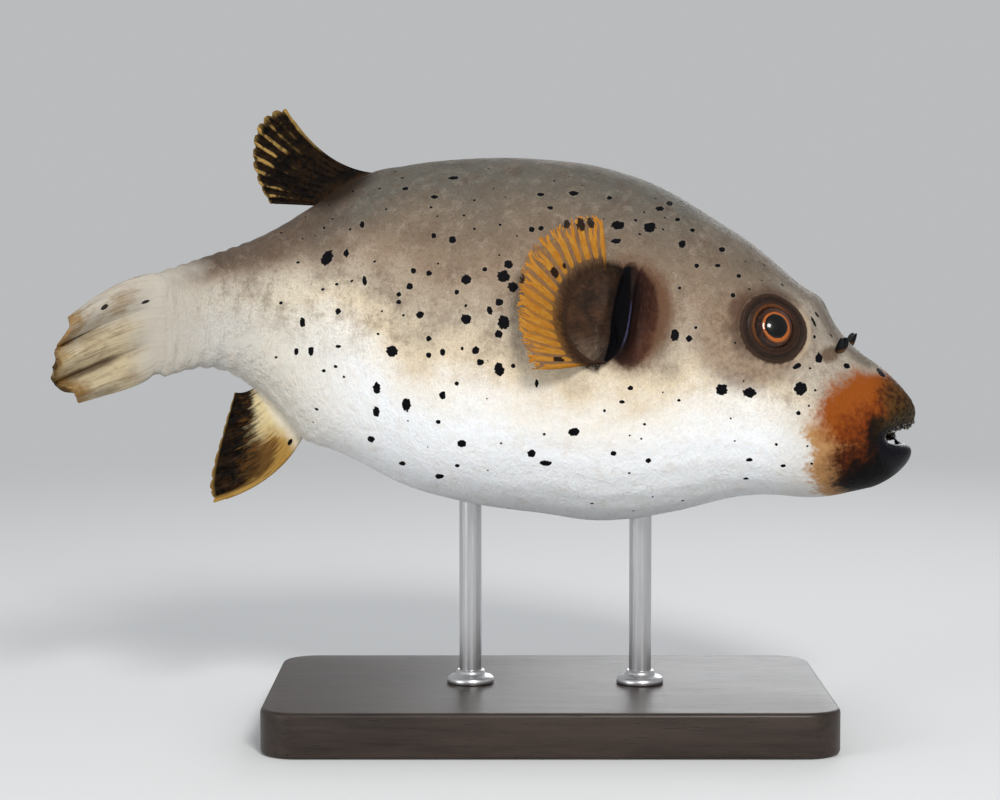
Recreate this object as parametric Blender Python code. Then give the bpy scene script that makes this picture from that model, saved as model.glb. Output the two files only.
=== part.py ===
"""Blackspotted puffer (Arothron nigropunctatus): a still, life-size model on a display stand.

Run it with: blender --background --python part.py

The fish swims towards +X with its right side to -Y, and bends its head and tail to its right.
The origin is the middle of the underside of the stand's base and +Z is up. Sizes are named in
millimetres. A place on the body is a station (distance back from the snout tip, measured along
X at the midline), a side offset from the midline (positive to the fish's left) and a height
above the floor.
"""

import math

import bmesh
import bpy
import numpy as np
from mathutils import Matrix

MM = 0.001
GAP = 0.3                    # clearance between neighbouring pieces

# ---------------------------------------------------------------- body: driving sizes
SNOUT_X = 97.0               # the snout tip's place along X
BACK_LINE = (                # (station, height) along the ridge of the back
    (11.8, 100.4), (17.0, 104.4), (20.8, 109.0), (22.8, 112.4), (24.7, 116.3), (26.8, 118.1),
    (31.2, 121.0), (40.3, 129.1), (50.9, 136.5), (61.5, 143.3), (77.6, 150.3), (93.8, 153.3),
    (110.0, 154.2), (126.2, 153.3), (143.2, 149.8), (151.8, 145.7), (158.4, 141.2),
    (163.6, 138.4), (174.1, 132.8), (184.3, 128.9), (198.0, 124.2))
KEEL_LINE = (                # (station, height) along the throat, belly and underside
    (11.8, 66.5), (19.0, 64.7), (24.5, 63.8), (35.0, 64.2), (45.8, 63.6), (56.4, 61.0),
    (67.0, 58.5), (77.6, 57.1), (86.0, 57.0), (99.2, 58.7), (110.0, 60.0), (126.2, 63.3),
    (137.0, 66.8), (147.8, 72.4), (158.4, 77.4), (162.5, 79.8), (168.5, 86.4), (174.5, 93.0),
    (179.7, 96.4), (184.3, 98.1), (189.3, 98.6), (193.0, 98.0), (198.0, 96.6))
HALF_WIDTH = (               # (station, half of the body's breadth)
    (11.8, 15.0), (19.5, 18.5), (30.0, 22.5), (40.0, 25.7), (55.0, 30.2), (70.0, 33.6),
    (90.0, 36.0), (110.0, 35.3), (130.0, 31.8), (145.0, 26.6), (160.0, 19.9), (172.0, 14.6),
    (185.0, 10.5), (193.0, 8.8), (198.0, 7.4))
WIDEST_LEVEL = (             # (station, height of the widest level as a part of the depth)
    (11.8, 0.42), (45.0, 0.44), (100.0, 0.44), (150.0, 0.46), (198.0, 0.50))
BACK_SQUARENESS = (          # (station, superellipse power of the upper half section)
    (11.8, 2.2), (35.0, 2.7), (70.0, 2.4), (198.0, 2.2))
BELLY_SQUARENESS = 2.3

HEAD_BEND_START, HEAD_BEND_RADIUS = 95.0, 290.0
TAIL_BEND_START, TAIL_BEND_RADIUS = 130.0, 120.0
MUZZLE_STATION = 11.8        # where the plain body sections end and the lips begin
HEAD_CUT, TAIL_CUT = 62.0, 180.0
STEM_END = 198.0
STEM_TIP = ((1.5, 0.7, 0.985), (2.6, 0.3, 0.95))   # (back, breadth, depth) rounding its end

# ---------------------------------------------------------------- head
GAPE_LEVEL = 80.5            # height of the open mouth's middle
LIP_CREST_UPPER, LIP_CREST_LOWER, LIP_CREST_SIDE = 0.4, 1.3, 6.6      # stations
LIP_EDGE_UPPER, LIP_EDGE_LOWER, LIP_EDGE_SIDE = 2.6, 3.6, 8.4         # stations
LIP_HEIGHT_UPPER, LIP_HEIGHT_LOWER, LIP_HALF_WIDTH = 6.4, 4.2, 9.4    # crest from the middle
GAPE_HALF_HEIGHT, GAPE_HALF_WIDTH = 2.1, 7.0
CAVITY = ((1.8, 1.08, 3.7), (5.0, 1.05, 4.5), (7.5, 0.60, 2.6))   # (back, breadth, half height)
CAVITY_DEPTH = 8.6
MUZZLE_PULL, LIP_PULL = (6.5, 6.5), (5.0, 6.0)     # roundness: at the sides, more above and below

EYE_STATION, EYE_HEIGHT, EYE_RADIUS = 34.4, 109.9, 8.0
EYE_OPENING = 5.0            # radius of the cap left bare, measured across a flat lid
LID_RISE, LID_TOP, LID_REACH = 1.0, 6.0, 12.0      # a level top, then down to the plain head

BEAK_BACK, BEAK_HALF_WIDTH, BEAK_THICK, BEAK_TURN = 2.3, 5.9, 1.1, 62.0
BEAK_EDGE, BEAK_ROOT = 1.1, 3.1                    # levels from the middle of the gape

NOSTRIL_STATION, NOSTRIL_HEIGHT = 18.6, 103.2
NOSTRIL_TALL, NOSTRIL_WIDE, NOSTRIL_THICK, NOSTRIL_NOTCH = 4.2, 3.2, 0.9, 1.8
NOSTRIL_LEAN_BACK, NOSTRIL_LEAN_UP = 0.35, 0.8

# ---------------------------------------------------------------- fins
LOBE_STATION, LOBE_HEIGHT, LOBE_RADIUS, LOBE_RISE = 81.4, 112.4, 14.5, 2.6
GILL_STATION, GILL_HEIGHT, GILL_REACH, GILL_TALL, GILL_DEPTH = 71.4, 112.6, 6.5, 16.0, 3.0
PECTORAL_ROOT_RADIUS = 12.8
PECTORAL_ROOT_ARC = (90.0, 245.0)                  # degrees, from straight up over the back
PECTORAL_TIP_ARC = (93.0, 211.0)
PECTORAL_REACH, PECTORAL_CREST, PECTORAL_CREST_ANGLE = 24.0, 4.0, 125.0
PECTORAL_FLARE = (5.0, 7.5)                        # tips out from the flank: top ray, last ray
PECTORAL_LEAN, PECTORAL_THINNER = 4.0, 0.8         # upper tips lean in over the back
DORSAL_BASE, ANAL_BASE = (143.6, 158.6), (162.8, 175.0)               # stations
DORSAL_TIPS = ((167.0, 167.3), (173.0, 164.6), (175.8, 157.5), (174.8, 149.0), (171.2, 141.8))
ANAL_TIPS = ((186.4, 62.5), (187.0, 68.0), (185.2, 76.5), (182.8, 84.5), (180.6, 91.8))
DORSAL_SWEEP = ((14.0, 0.9), (5.6, 0.6))           # first and last ray's bend point from base
ANAL_SWEEP = ((7.2, -13.2), (2.6, -2.4))
CAUDAL_LENGTHS = (24.5, 28.0, 29.0, 33.5, 30.0, 26.5, 21.5)           # upper to lower edge
CAUDAL_TIP_LEVELS = (111.9, 110.3, 104.5, 100.6, 95.7, 93.2, 90.6)
CAUDAL_DROOP = (1.4, 0.58)                         # how late the upper and lower edges drop
CAUDAL_CURL, CAUDAL_CURL_LENGTH = (30.0, 60.0), 39.5                  # heading at each end
CAUDAL_PLEAT, CAUDAL_PLEATS, CAUDAL_INSET = 2.8, 3, 0.8
FIN_BASE_THICK, FIN_EDGE_THICK = 2.4, 0.8
RAY_RIDGE = 0.35             # how much a ray stands out on each side of the membrane
DORSAL_RAYS, ANAL_RAYS, PECTORAL_RAYS, CAUDAL_RAYS = 10, 10, 17, 9

# ---------------------------------------------------------------- stand
BASE_LENGTH, BASE_WIDTH, BASE_THICK, BASE_CORNER, BASE_EDGE = 150.0, 90.0, 12.0, 10.0, 1.2
ROD_RADIUS, ROD_SOCKET = 3.0, 9.0                  # the rods end this far inside the body
ROD_STATIONS = {"front": 72.0, "rear": 118.0}

# ---------------------------------------------------------------- mesh fineness
AROUND = 40
HEAD_SPACING, BODY_SPACING = 3.2, 5.2


class Spline:
    """Natural cubic spline through (place, value) points."""

    def __init__(self, points):
        self.x, self.y = np.array(points, float).T
        count, step = len(self.x), np.diff(self.x)
        matrix, right = np.eye(count), np.zeros(count)
        slope = np.diff(self.y) / step
        for i in range(1, count - 1):
            matrix[i, i - 1:i + 2] = step[i - 1], 2 * (step[i - 1] + step[i]), step[i]
            right[i] = 6 * (slope[i] - slope[i - 1])
        self.bend = np.linalg.solve(matrix, right)

    def __call__(self, place):
        place = np.asarray(place, float)
        i = np.clip(np.searchsorted(self.x, place) - 1, 0, len(self.x) - 2)
        step = self.x[i + 1] - self.x[i]
        a, b = (self.x[i + 1] - place) / step, (place - self.x[i]) / step
        curve = ((a ** 3 - a) * self.bend[i] + (b ** 3 - b) * self.bend[i + 1]) * step ** 2 / 6
        return a * self.y[i] + b * self.y[i + 1] + curve


back_height = Spline(BACK_LINE)
keel_height = Spline(KEEL_LINE)
half_width = Spline(HALF_WIDTH)
widest_level = Spline(WIDEST_LEVEL)
back_squareness = Spline(BACK_SQUARENESS)


# ---------------------------------------------------------------- body surface
def heading(station):
    """Angle in plan between +X and the way the body points at a station."""
    head = np.maximum(HEAD_BEND_START - station, 0) / HEAD_BEND_RADIUS
    tail = np.maximum(station - TAIL_BEND_START, 0) / TAIL_BEND_RADIUS
    return np.arctan(tail - head)


def place(station, side, height):
    """World point, in mm, of a place given by station, side offset and height."""
    station, side, height = np.broadcast_arrays(station, side, height)
    angle = heading(station)
    head = np.maximum(HEAD_BEND_START - station, 0) ** 2 / (2 * HEAD_BEND_RADIUS)
    tail = np.maximum(station - TAIL_BEND_START, 0) ** 2 / (2 * TAIL_BEND_RADIUS)
    x = SNOUT_X - station - side * np.sin(angle)
    y = -head - tail + side * np.cos(angle)
    return np.stack([x, y, height], axis=-1)


def bell(distance):
    """Smooth bump: 1 at distance 0, and 0 from distance 1 on."""
    return np.maximum(1 - distance ** 2, 0) ** 2


def flank_relief(station, height):
    """How far the flank stands out for the eyelids, the pectoral lobe and the gill hollow."""
    lid = np.hypot(station - EYE_STATION, height - EYE_HEIGHT) - LID_TOP
    lid = np.maximum(lid, 0) / (LID_REACH - LID_TOP)
    lobe = np.hypot(station - LOBE_STATION, height - LOBE_HEIGHT) / LOBE_RADIUS
    gill = np.hypot((station - GILL_STATION) / GILL_REACH, (height - GILL_HEIGHT) / GILL_TALL)
    return LID_RISE * bell(lid) + LOBE_RISE * bell(lobe) - GILL_DEPTH * bell(gill)


def section(station, angle):
    """Side offsets and heights of the body's outline across a station."""
    back, keel = back_height(station), keel_height(station)
    middle = keel + widest_level(station) * (back - keel)
    power = np.where(np.sin(angle) > 0, back_squareness(station), BELLY_SQUARENESS)
    c, s = np.cos(angle), np.sin(angle)
    reach = (np.abs(c) ** power + np.abs(s) ** power) ** (-1 / power)
    height = middle + reach * s * np.where(s > 0, back - middle, middle - keel)
    side = half_width(station) * reach * c
    return side + np.sign(c) * np.abs(c) ** 0.5 * flank_relief(station, height), height


def flank_side(station, height, sign):
    """Side offset of the flank at a station and height, found by bisection on the angle."""
    low, high = -math.pi / 2, math.pi / 2
    for _ in range(40):
        angle = (low + high) / 2
        if section(station, angle)[1] < height:
            low = angle
        else:
            high = angle
    return sign * float(section(station, (low + high) / 2)[0])


# ---------------------------------------------------------------- mesh helpers
def make_material(name, color, roughness, metallic=0.0):
    material = bpy.data.materials.new(name)
    material.use_nodes = True
    shader = material.node_tree.nodes["Principled BSDF"]
    shader.inputs["Base Color"].default_value = (*color, 1.0)
    shader.inputs["Roughness"].default_value = roughness
    shader.inputs["Metallic"].default_value = metallic
    return material


def make_object(name, points, faces, material, smooth=True):
    """Object from points in mm, with its faces turned outwards."""
    mesh = bpy.data.meshes.new(name)
    mesh.from_pydata([tuple(float(c) * MM for c in p) for p in points], [], faces)
    work = bmesh.new()
    work.from_mesh(mesh)
    bmesh.ops.recalc_face_normals(work, faces=work.faces)
    work.to_mesh(mesh)
    work.free()
    mesh.materials.append(material)
    if smooth:
        mesh.shade_smooth()
        mesh.set_sharp_from_angle(angle=math.radians(50))
    thing = bpy.data.objects.new(name, mesh)
    bpy.context.scene.collection.objects.link(thing)
    return thing


def skin_rings(rings, caps):
    """Points and faces of a tube through closed rings, with a middle point at each end."""
    around = len(rings[0])
    points = [tuple(p) for ring in rings for p in ring]
    faces = []
    for row in range(len(rings) - 1):
        for i in range(around):
            j = (i + 1) % around
            a, b = row * around, (row + 1) * around
            faces.append((a + i, a + j, b + j, b + i))
    for ring_start, cap in zip((0, (len(rings) - 1) * around), caps):
        points.append(tuple(cap))
        for i in range(around):
            faces.append((ring_start + i, ring_start + (i + 1) % around, len(points) - 1))
    return points, faces


def thick_sheet(middle, thickness):
    """Points and faces of a closed sheet about a grid of middle points (rows x columns x 3)."""
    down = np.gradient(middle, axis=0)
    across = np.gradient(middle, axis=1)
    normal = np.cross(down, across)
    normal /= np.linalg.norm(normal, axis=-1, keepdims=True)
    offset = normal * thickness[..., None] / 2
    rows, columns = middle.shape[:2]
    points = list((middle + offset).reshape(-1, 3)) + list((middle - offset).reshape(-1, 3))
    under = rows * columns
    faces = []
    for r in range(rows - 1):
        for c in range(columns - 1):
            a = r * columns + c
            quad = (a, a + 1, a + columns + 1, a + columns)
            faces.append(quad)
            faces.append(tuple(under + i for i in reversed(quad)))
    rim = list(range(columns))
    rim += [r * columns + columns - 1 for r in range(1, rows)]
    rim += [(rows - 1) * columns + c for c in range(columns - 2, -1, -1)]
    rim += [r * columns for r in range(rows - 2, 0, -1)]
    for a, b in zip(rim, rim[1:] + rim[:1]):
        faces.append((b, a, under + a, under + b))
    return points, faces


def cut(thing, cutter):
    """Boolean difference of a thing and a hidden cutter."""
    cutter.hide_render = True
    cutter.display_type = "WIRE"
    modifier = thing.modifiers.new("cut " + cutter.name, "BOOLEAN")
    modifier.operation = "DIFFERENCE"
    modifier.object = cutter


# ---------------------------------------------------------------- head, trunk and tail stem
def body_rings(start, end, spacing):
    count = round(abs(end - start) / spacing) + 1
    angles = np.arange(AROUND) * 2 * math.pi / AROUND
    rings = []
    for station in np.linspace(start, end, count):
        side, height = section(station, angles)
        rings.append(np.stack([np.full(AROUND, station), side, height], axis=-1))
    return rings


def lip_rings():
    """Rings from the muzzle over the lips and into the shallow open mouth."""
    angles = np.arange(AROUND) * 2 * math.pi / AROUND
    c, s = np.cos(angles), np.sin(angles)
    step = 0.2
    side, height = section(MUZZLE_STATION, angles)
    side_behind, height_behind = section(MUZZLE_STATION + step, angles)
    start = np.stack([np.full(AROUND, MUZZLE_STATION), side, height], axis=-1)
    forward = np.stack([np.full(AROUND, -1.0), (side - side_behind) / step,
                        (height - height_behind) / step], axis=-1)

    def around_lips(upper, lower, at_side):
        return at_side * c ** 2 + ((upper + lower) / 2 + (upper - lower) / 2 * s) * s ** 2

    lip_height = (LIP_HEIGHT_UPPER + LIP_HEIGHT_LOWER) / 2
    lip_height = lip_height + (LIP_HEIGHT_UPPER - LIP_HEIGHT_LOWER) / 2 * s
    crest = np.stack([around_lips(LIP_CREST_UPPER, LIP_CREST_LOWER, LIP_CREST_SIDE),
                      LIP_HALF_WIDTH * c, GAPE_LEVEL + lip_height * s], axis=-1)
    inward = np.stack([np.zeros(AROUND), -c, -s], axis=-1)
    slot = (np.abs(c) ** 3 + np.abs(s) ** 3) ** (-1 / 3)
    edge = np.stack([around_lips(LIP_EDGE_UPPER, LIP_EDGE_LOWER, LIP_EDGE_SIDE),
                     GAPE_HALF_WIDTH * slot * c, GAPE_LEVEL + GAPE_HALF_HEIGHT * slot * s],
                    axis=-1)
    leave = (MUZZLE_PULL[0] + MUZZLE_PULL[1] * s ** 2)[:, None]
    arrive = (LIP_PULL[0] + LIP_PULL[1] * s ** 2)[:, None]
    rings = []
    for t in (0.3, 0.6, 0.85):
        rings.append((2 * t ** 3 - 3 * t ** 2 + 1) * start + (t ** 3 - 2 * t ** 2 + t) * leave
                     * forward + (3 * t ** 2 - 2 * t ** 3) * crest
                     + (t ** 3 - t ** 2) * arrive * inward)
    behind = np.concatenate([edge[:, :1], crest[:, 1:]], axis=1)
    for turn in np.radians((0, 45, 90)):
        rings.append(behind + (crest - behind) * math.cos(turn) + (edge - behind) * math.sin(turn))
    for back, breadth, tall in CAVITY:
        station = edge[:, 0] + back
        station += (LIP_EDGE_SIDE - edge[:, 0]) * min(back / CAVITY_DEPTH, 1)
        rings.append(np.stack([station, GAPE_HALF_WIDTH * breadth * slot * c,
                               GAPE_LEVEL + tall * slot * s], axis=-1))
    return rings


def make_body_piece(name, rings, caps, material):
    world = [place(ring[:, 0], ring[:, 1], ring[:, 2]) for ring in rings]
    ends = [place(*cap) for cap in caps]
    return make_object(name, *skin_rings(world, ends), material)


def middle_of(ring):
    return ring[:, 0].mean(), 0.0, ring[:, 2].mean()


def make_head(material):
    rings = body_rings(HEAD_CUT - GAP / 2, MUZZLE_STATION, HEAD_SPACING) + lip_rings()
    throat = (LIP_EDGE_SIDE + CAVITY_DEPTH, 0.0, GAPE_LEVEL)
    return make_body_piece("head", rings, (middle_of(rings[0]), throat), material)


def make_trunk(material):
    rings = body_rings(TAIL_CUT - GAP / 2, HEAD_CUT + GAP / 2, BODY_SPACING)
    return make_body_piece("trunk", rings, (middle_of(rings[0]), middle_of(rings[-1])), material)


def make_tail_stem(material):
    rings = body_rings(STEM_END, TAIL_CUT + GAP / 2, BODY_SPACING)
    end = rings[0]
    for back, breadth, depth in STEM_TIP:
        ring = end.copy()
        ring[:, 0] += back
        ring[:, 1] *= breadth
        ring[:, 2] = ring[:, 2].mean() + (ring[:, 2] - ring[:, 2].mean()) * depth
        rings.insert(0, ring)
    return make_body_piece("tail_stem", rings, (middle_of(rings[0]), middle_of(rings[-1])),
                           material)


# ---------------------------------------------------------------- eyes, nostrils and beak
def eye_center(sign):
    """Middle of the eyeball, sunk square to the lids so that an even cap shows."""
    lid, _, out = flank_frame(EYE_STATION, EYE_HEIGHT, sign)
    return lid - out * math.sqrt(EYE_RADIUS ** 2 - EYE_OPENING ** 2)


def ball(name, center, radius, material=None):
    mesh = bpy.data.meshes.new(name)
    work = bmesh.new()
    bmesh.ops.create_uvsphere(work, u_segments=18, v_segments=12, radius=radius * MM)
    bmesh.ops.rotate(work, verts=work.verts, cent=(0, 0, 0),
                     matrix=Matrix.Rotation(math.pi / 2, 3, "X"))
    work.to_mesh(mesh)
    work.free()
    mesh.shade_smooth()
    if material:
        mesh.materials.append(material)
    thing = bpy.data.objects.new(name, mesh)
    thing.location = center * MM
    bpy.context.scene.collection.objects.link(thing)
    return thing


def flank_frame(station, height, sign):
    """A flank point, its forward direction and its outward normal."""
    def at(s, h):
        return place(s, flank_side(s, h, sign), h)

    forward = at(station - 1, height) - at(station + 1, height)
    upward = at(station, height + 1) - at(station, height - 1)
    forward /= np.linalg.norm(forward)
    out = np.cross(upward, forward) * sign
    return at(station, height), forward, out / np.linalg.norm(out)


def make_nostril(name, sign, material):
    """Two-lobed nostril flap standing on the snout."""
    foot, forward, out = flank_frame(NOSTRIL_STATION, NOSTRIL_HEIGHT, sign)
    outline = [(-0.32, 0.0), (0.32, 0.0), (0.50, 0.45), (0.44, 0.92), (0.26, 1.0), (0.08, 0.86),
               (0.0, 1 - NOSTRIL_NOTCH / NOSTRIL_TALL), (-0.08, 0.82), (-0.28, 0.93),
               (-0.46, 0.84), (-0.50, 0.42)]
    rise = out - forward * NOSTRIL_LEAN_BACK + np.array([0.0, 0.0, NOSTRIL_LEAN_UP])
    rise /= np.linalg.norm(rise)
    thick = np.cross(forward, out) * NOSTRIL_THICK / 2
    flat = [foot + out * 2 * GAP + rise * v * NOSTRIL_TALL + forward * u * NOSTRIL_WIDE
            for u, v in outline]
    count = len(flat)
    points = [p + thick for p in flat] + [p - thick for p in flat]
    faces = [tuple(range(count)), tuple(range(2 * count - 1, count - 1, -1))]
    faces += [(i, (i + 1) % count, count + (i + 1) % count, count + i) for i in range(count)]
    return make_object(name, points, faces, material, smooth=False)


def make_beak(name, sign, material):
    """Tooth plate, a bent strip following the curve of the jaw, sign +1 above and -1 below."""
    middle = (LIP_EDGE_UPPER + LIP_EDGE_LOWER) / 2 - sign * (LIP_EDGE_LOWER - LIP_EDGE_UPPER) / 2
    turns = np.radians(np.linspace(-BEAK_TURN, BEAK_TURN, 11))
    rows = []
    for level in (BEAK_EDGE, (BEAK_EDGE + BEAK_ROOT) / 2, BEAK_ROOT):
        bow = BEAK_BACK + middle + (LIP_EDGE_SIDE - middle) * np.sin(turns) ** 2
        rows.append(place(bow, BEAK_HALF_WIDTH * np.sin(turns), GAPE_LEVEL + sign * level))
    grid = np.array(rows)
    return make_object(name, *thick_sheet(grid, np.full(grid.shape[:2], BEAK_THICK)), material)


# ---------------------------------------------------------------- fins
def fin_thickness(across, along, rays):
    """Thick at the fleshy base, thin at the edge, with a ridge on each ray."""
    body = FIN_EDGE_THICK + (FIN_BASE_THICK - FIN_EDGE_THICK) * (1 - along) ** 2.5
    return body + 2 * RAY_RIDGE * np.cos(across * math.pi * (rays - 1)) ** 2 * (1 - along * 0.8)


def fin_grid(rays, rows):
    """Across (front to rear) and along (base to tip) values, a column for each ray and gap."""
    across, along = np.meshgrid(np.linspace(0, 1, 2 * rays - 1), np.linspace(0, 1, rows))
    return across, along


def through(points, across):
    """Smooth curve through evenly spaced points, at values from 0 to 1."""
    places = np.linspace(0, 1, len(points))
    return [Spline(list(zip(places, values)))(across) for values in zip(*points)]


def make_upright_fin(name, base, line, lift, tips, sweep, rays, material):
    """Dorsal or anal fin: bent rays in the plane of the body's midline."""
    across, along = fin_grid(rays, 7)
    base_station = base[0] + (base[1] - base[0]) * across
    base_height = line(base_station) + lift
    tip_station, tip_height = through(tips, across)
    bend_station = base_station + sweep[0][0] + (sweep[1][0] - sweep[0][0]) * across
    bend_height = base_height + sweep[0][1] + (sweep[1][1] - sweep[0][1]) * across
    a, b, c = (1 - along) ** 2, 2 * along * (1 - along), along ** 2
    station = a * base_station + b * bend_station + c * tip_station
    height = a * base_height + b * bend_height + c * tip_height
    grid = place(station, np.zeros_like(station), height)
    return make_object(name, *thick_sheet(grid, fin_thickness(across, along, rays)), material)


def make_pectoral_fin(name, sign, material):
    """Fan of rays spread from the round rear edge of the fleshy lobe."""
    across, along = fin_grid(PECTORAL_RAYS, 5)
    root = np.radians(PECTORAL_ROOT_ARC[0] + np.ptp(PECTORAL_ROOT_ARC) * across)
    tip = np.radians(PECTORAL_TIP_ARC[0] + np.ptp(PECTORAL_TIP_ARC) * across)
    crest = bell((np.degrees(tip) - PECTORAL_CREST_ANGLE) / 60)
    reach = PECTORAL_REACH + PECTORAL_CREST * crest
    root_station = LOBE_STATION - PECTORAL_ROOT_RADIUS * np.cos(root)
    root_height = LOBE_HEIGHT + PECTORAL_ROOT_RADIUS * np.sin(root)
    tip_station = LOBE_STATION - reach * np.cos(tip)
    tip_height = LOBE_HEIGHT + reach * np.sin(tip)
    station = root_station + (tip_station - root_station) * along
    height = root_height + (tip_height - root_height) * along
    root_side = np.array([flank_side(s, h, 1) for s, h in zip(root_station[0], root_height[0])])
    flare = PECTORAL_FLARE[0] + (PECTORAL_FLARE[1] - PECTORAL_FLARE[0]) * across
    foot = GAP + FIN_BASE_THICK * 0.6
    side = root_side[None, :] + foot + flare * (1 - (1 - along) ** 2)
    side -= PECTORAL_LEAN * along * np.maximum(np.sin(root), 0) ** 2
    grid = place(station, sign * side, height)
    thickness = fin_thickness(across, along, PECTORAL_RAYS) * PECTORAL_THINNER
    return make_object(name, *thick_sheet(grid, thickness), material)


def make_caudal_fin(material):
    """Tail fin, half folded into three pleats and curled to the fish's right."""
    across, along = fin_grid(CAUDAL_RAYS, 8)
    start = STEM_END + STEM_TIP[-1][0] + GAP
    top, bottom = back_height(STEM_END) - CAUDAL_INSET, keel_height(STEM_END) + CAUDAL_INSET
    length = through([(v,) for v in CAUDAL_LENGTHS], across)[0] * along
    tip_level = through([(v,) for v in CAUDAL_TIP_LEVELS], across)[0]
    root_level = top + (bottom - top) * across
    droop = CAUDAL_DROOP[0] + (CAUDAL_DROOP[1] - CAUDAL_DROOP[0]) * across
    height = root_level + (tip_level - root_level) * along ** droop
    first, last = np.radians(CAUDAL_CURL)
    turn = (last - first) / CAUDAL_CURL_LENGTH
    angle = first + turn * length
    pleat = -CAUDAL_PLEAT * np.cos(2 * math.pi * CAUDAL_PLEATS * across - math.pi) * along ** 0.8
    x = -(np.sin(angle) - math.sin(first)) / turn - pleat * np.sin(angle)
    y = (np.cos(angle) - math.cos(first)) / turn + pleat * np.cos(angle)
    foot = place(start, 0.0, 0.0)
    grid = np.stack([foot[0] + x, foot[1] + y, height], axis=-1)
    return make_object("caudal_fin", *thick_sheet(grid, fin_thickness(across, along, CAUDAL_RAYS)),
                       material)


# ---------------------------------------------------------------- stand
def make_base(material):
    """Flat slab with round corners and a small bevel along its edges."""
    mesh = bpy.data.meshes.new("stand_base")
    work = bmesh.new()
    bmesh.ops.create_cube(work, size=1.0)
    size = (BASE_LENGTH * MM, BASE_WIDTH * MM, BASE_THICK * MM)
    bmesh.ops.scale(work, vec=size, verts=work.verts)
    bmesh.ops.translate(work, vec=(0, 0, BASE_THICK * MM / 2), verts=work.verts)
    upright = [e for e in work.edges if abs(e.verts[0].co.z - e.verts[1].co.z) > MM]
    bmesh.ops.bevel(work, geom=upright, offset=BASE_CORNER * MM, segments=6, affect="EDGES",
                    profile=0.5)
    level = [e for e in work.edges if abs(e.verts[0].co.z - e.verts[1].co.z) < MM / 10
             and len({round(f.normal.z, 3) for f in e.link_faces}) > 1]
    bmesh.ops.bevel(work, geom=level, offset=BASE_EDGE * MM, segments=2, affect="EDGES",
                    profile=0.5)
    work.to_mesh(mesh)
    work.free()
    mesh.materials.append(material)
    thing = bpy.data.objects.new("stand_base", mesh)
    bpy.context.scene.collection.objects.link(thing)
    return thing


def rod_place(end):
    return place(ROD_STATIONS[end], 0.0, 0.0)[:2]


def upright_cylinder(name, x, y, low, high, radius, material=None):
    mesh = bpy.data.meshes.new(name)
    work = bmesh.new()
    bmesh.ops.create_cone(work, cap_ends=True, segments=24, radius1=radius * MM,
                          radius2=radius * MM, depth=(high - low) * MM)
    bmesh.ops.translate(work, vec=(x * MM, y * MM, (low + high) / 2 * MM), verts=work.verts)
    work.to_mesh(mesh)
    work.free()
    if material:
        mesh.materials.append(material)
    mesh.shade_smooth()
    mesh.set_sharp_from_angle(angle=math.radians(40))
    thing = bpy.data.objects.new(name, mesh)
    bpy.context.scene.collection.objects.link(thing)
    return thing


def make_rods(trunk, material):
    """Two round rods from the base into blind sockets in the belly."""
    for end, station in ROD_STATIONS.items():
        x, y = rod_place(end)
        top = float(keel_height(station)) + ROD_SOCKET
        upright_cylinder("stand_rod_" + end, x, y, BASE_THICK + GAP, top, ROD_RADIUS, material)
        socket = upright_cylinder("socket_" + end, x, y, BASE_THICK + 10, top + GAP,
                                  ROD_RADIUS + GAP)
        cut(trunk, socket)


def clear_scene():
    for thing in list(bpy.data.objects):
        bpy.data.objects.remove(thing, do_unlink=True)


def main():
    clear_scene()
    skin = make_material("spotted_skin", (0.40, 0.33, 0.26), 0.45)
    eye = make_material("eye_dark", (0.02, 0.015, 0.012), 0.08)
    flap = make_material("nostril_dark", (0.02, 0.016, 0.013), 0.5)
    tooth = make_material("beak_ivory", (0.62, 0.58, 0.48), 0.3)
    yellow_fin = make_material("fin_yellow", (0.62, 0.33, 0.06), 0.5)
    dark_fin = make_material("fin_dark", (0.10, 0.07, 0.04), 0.5)
    tail = make_material("fin_brown", (0.30, 0.23, 0.15), 0.5)
    board = make_material("stand_black", (0.025, 0.025, 0.028), 0.45)
    steel = make_material("stand_steel", (0.55, 0.55, 0.56), 0.3, 1.0)

    head = make_head(skin)
    trunk = make_trunk(skin)
    make_tail_stem(skin)
    for name, sign in (("right", -1), ("left", 1)):
        center = eye_center(sign)
        ball("eye_" + name, center, EYE_RADIUS, eye)
        cut(head, ball("eye_socket_" + name, center, EYE_RADIUS + GAP))
        make_nostril("nostril_" + name, sign, flap)
        make_pectoral_fin("pectoral_fin_" + name, sign, yellow_fin)
    make_beak("beak_upper", 1, tooth)
    make_beak("beak_lower", -1, tooth)
    make_upright_fin("dorsal_fin", DORSAL_BASE, back_height, GAP, DORSAL_TIPS, DORSAL_SWEEP,
                     DORSAL_RAYS, dark_fin)
    make_upright_fin("anal_fin", ANAL_BASE, keel_height, -GAP, ANAL_TIPS, ANAL_SWEEP,
                     ANAL_RAYS, dark_fin)
    make_caudal_fin(tail)
    make_base(board)
    make_rods(trunk, steel)


main()
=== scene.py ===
"""Looks of the blackspotted puffer model: one skin, eyes, beak, nostrils, fins, stand and stage.

Lengths are in millimetres until a mesh is made. A place on the body is a station (distance back
from the snout tip along the midline), a side offset (positive to the fish's left) and a height.
"""

import math

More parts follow.
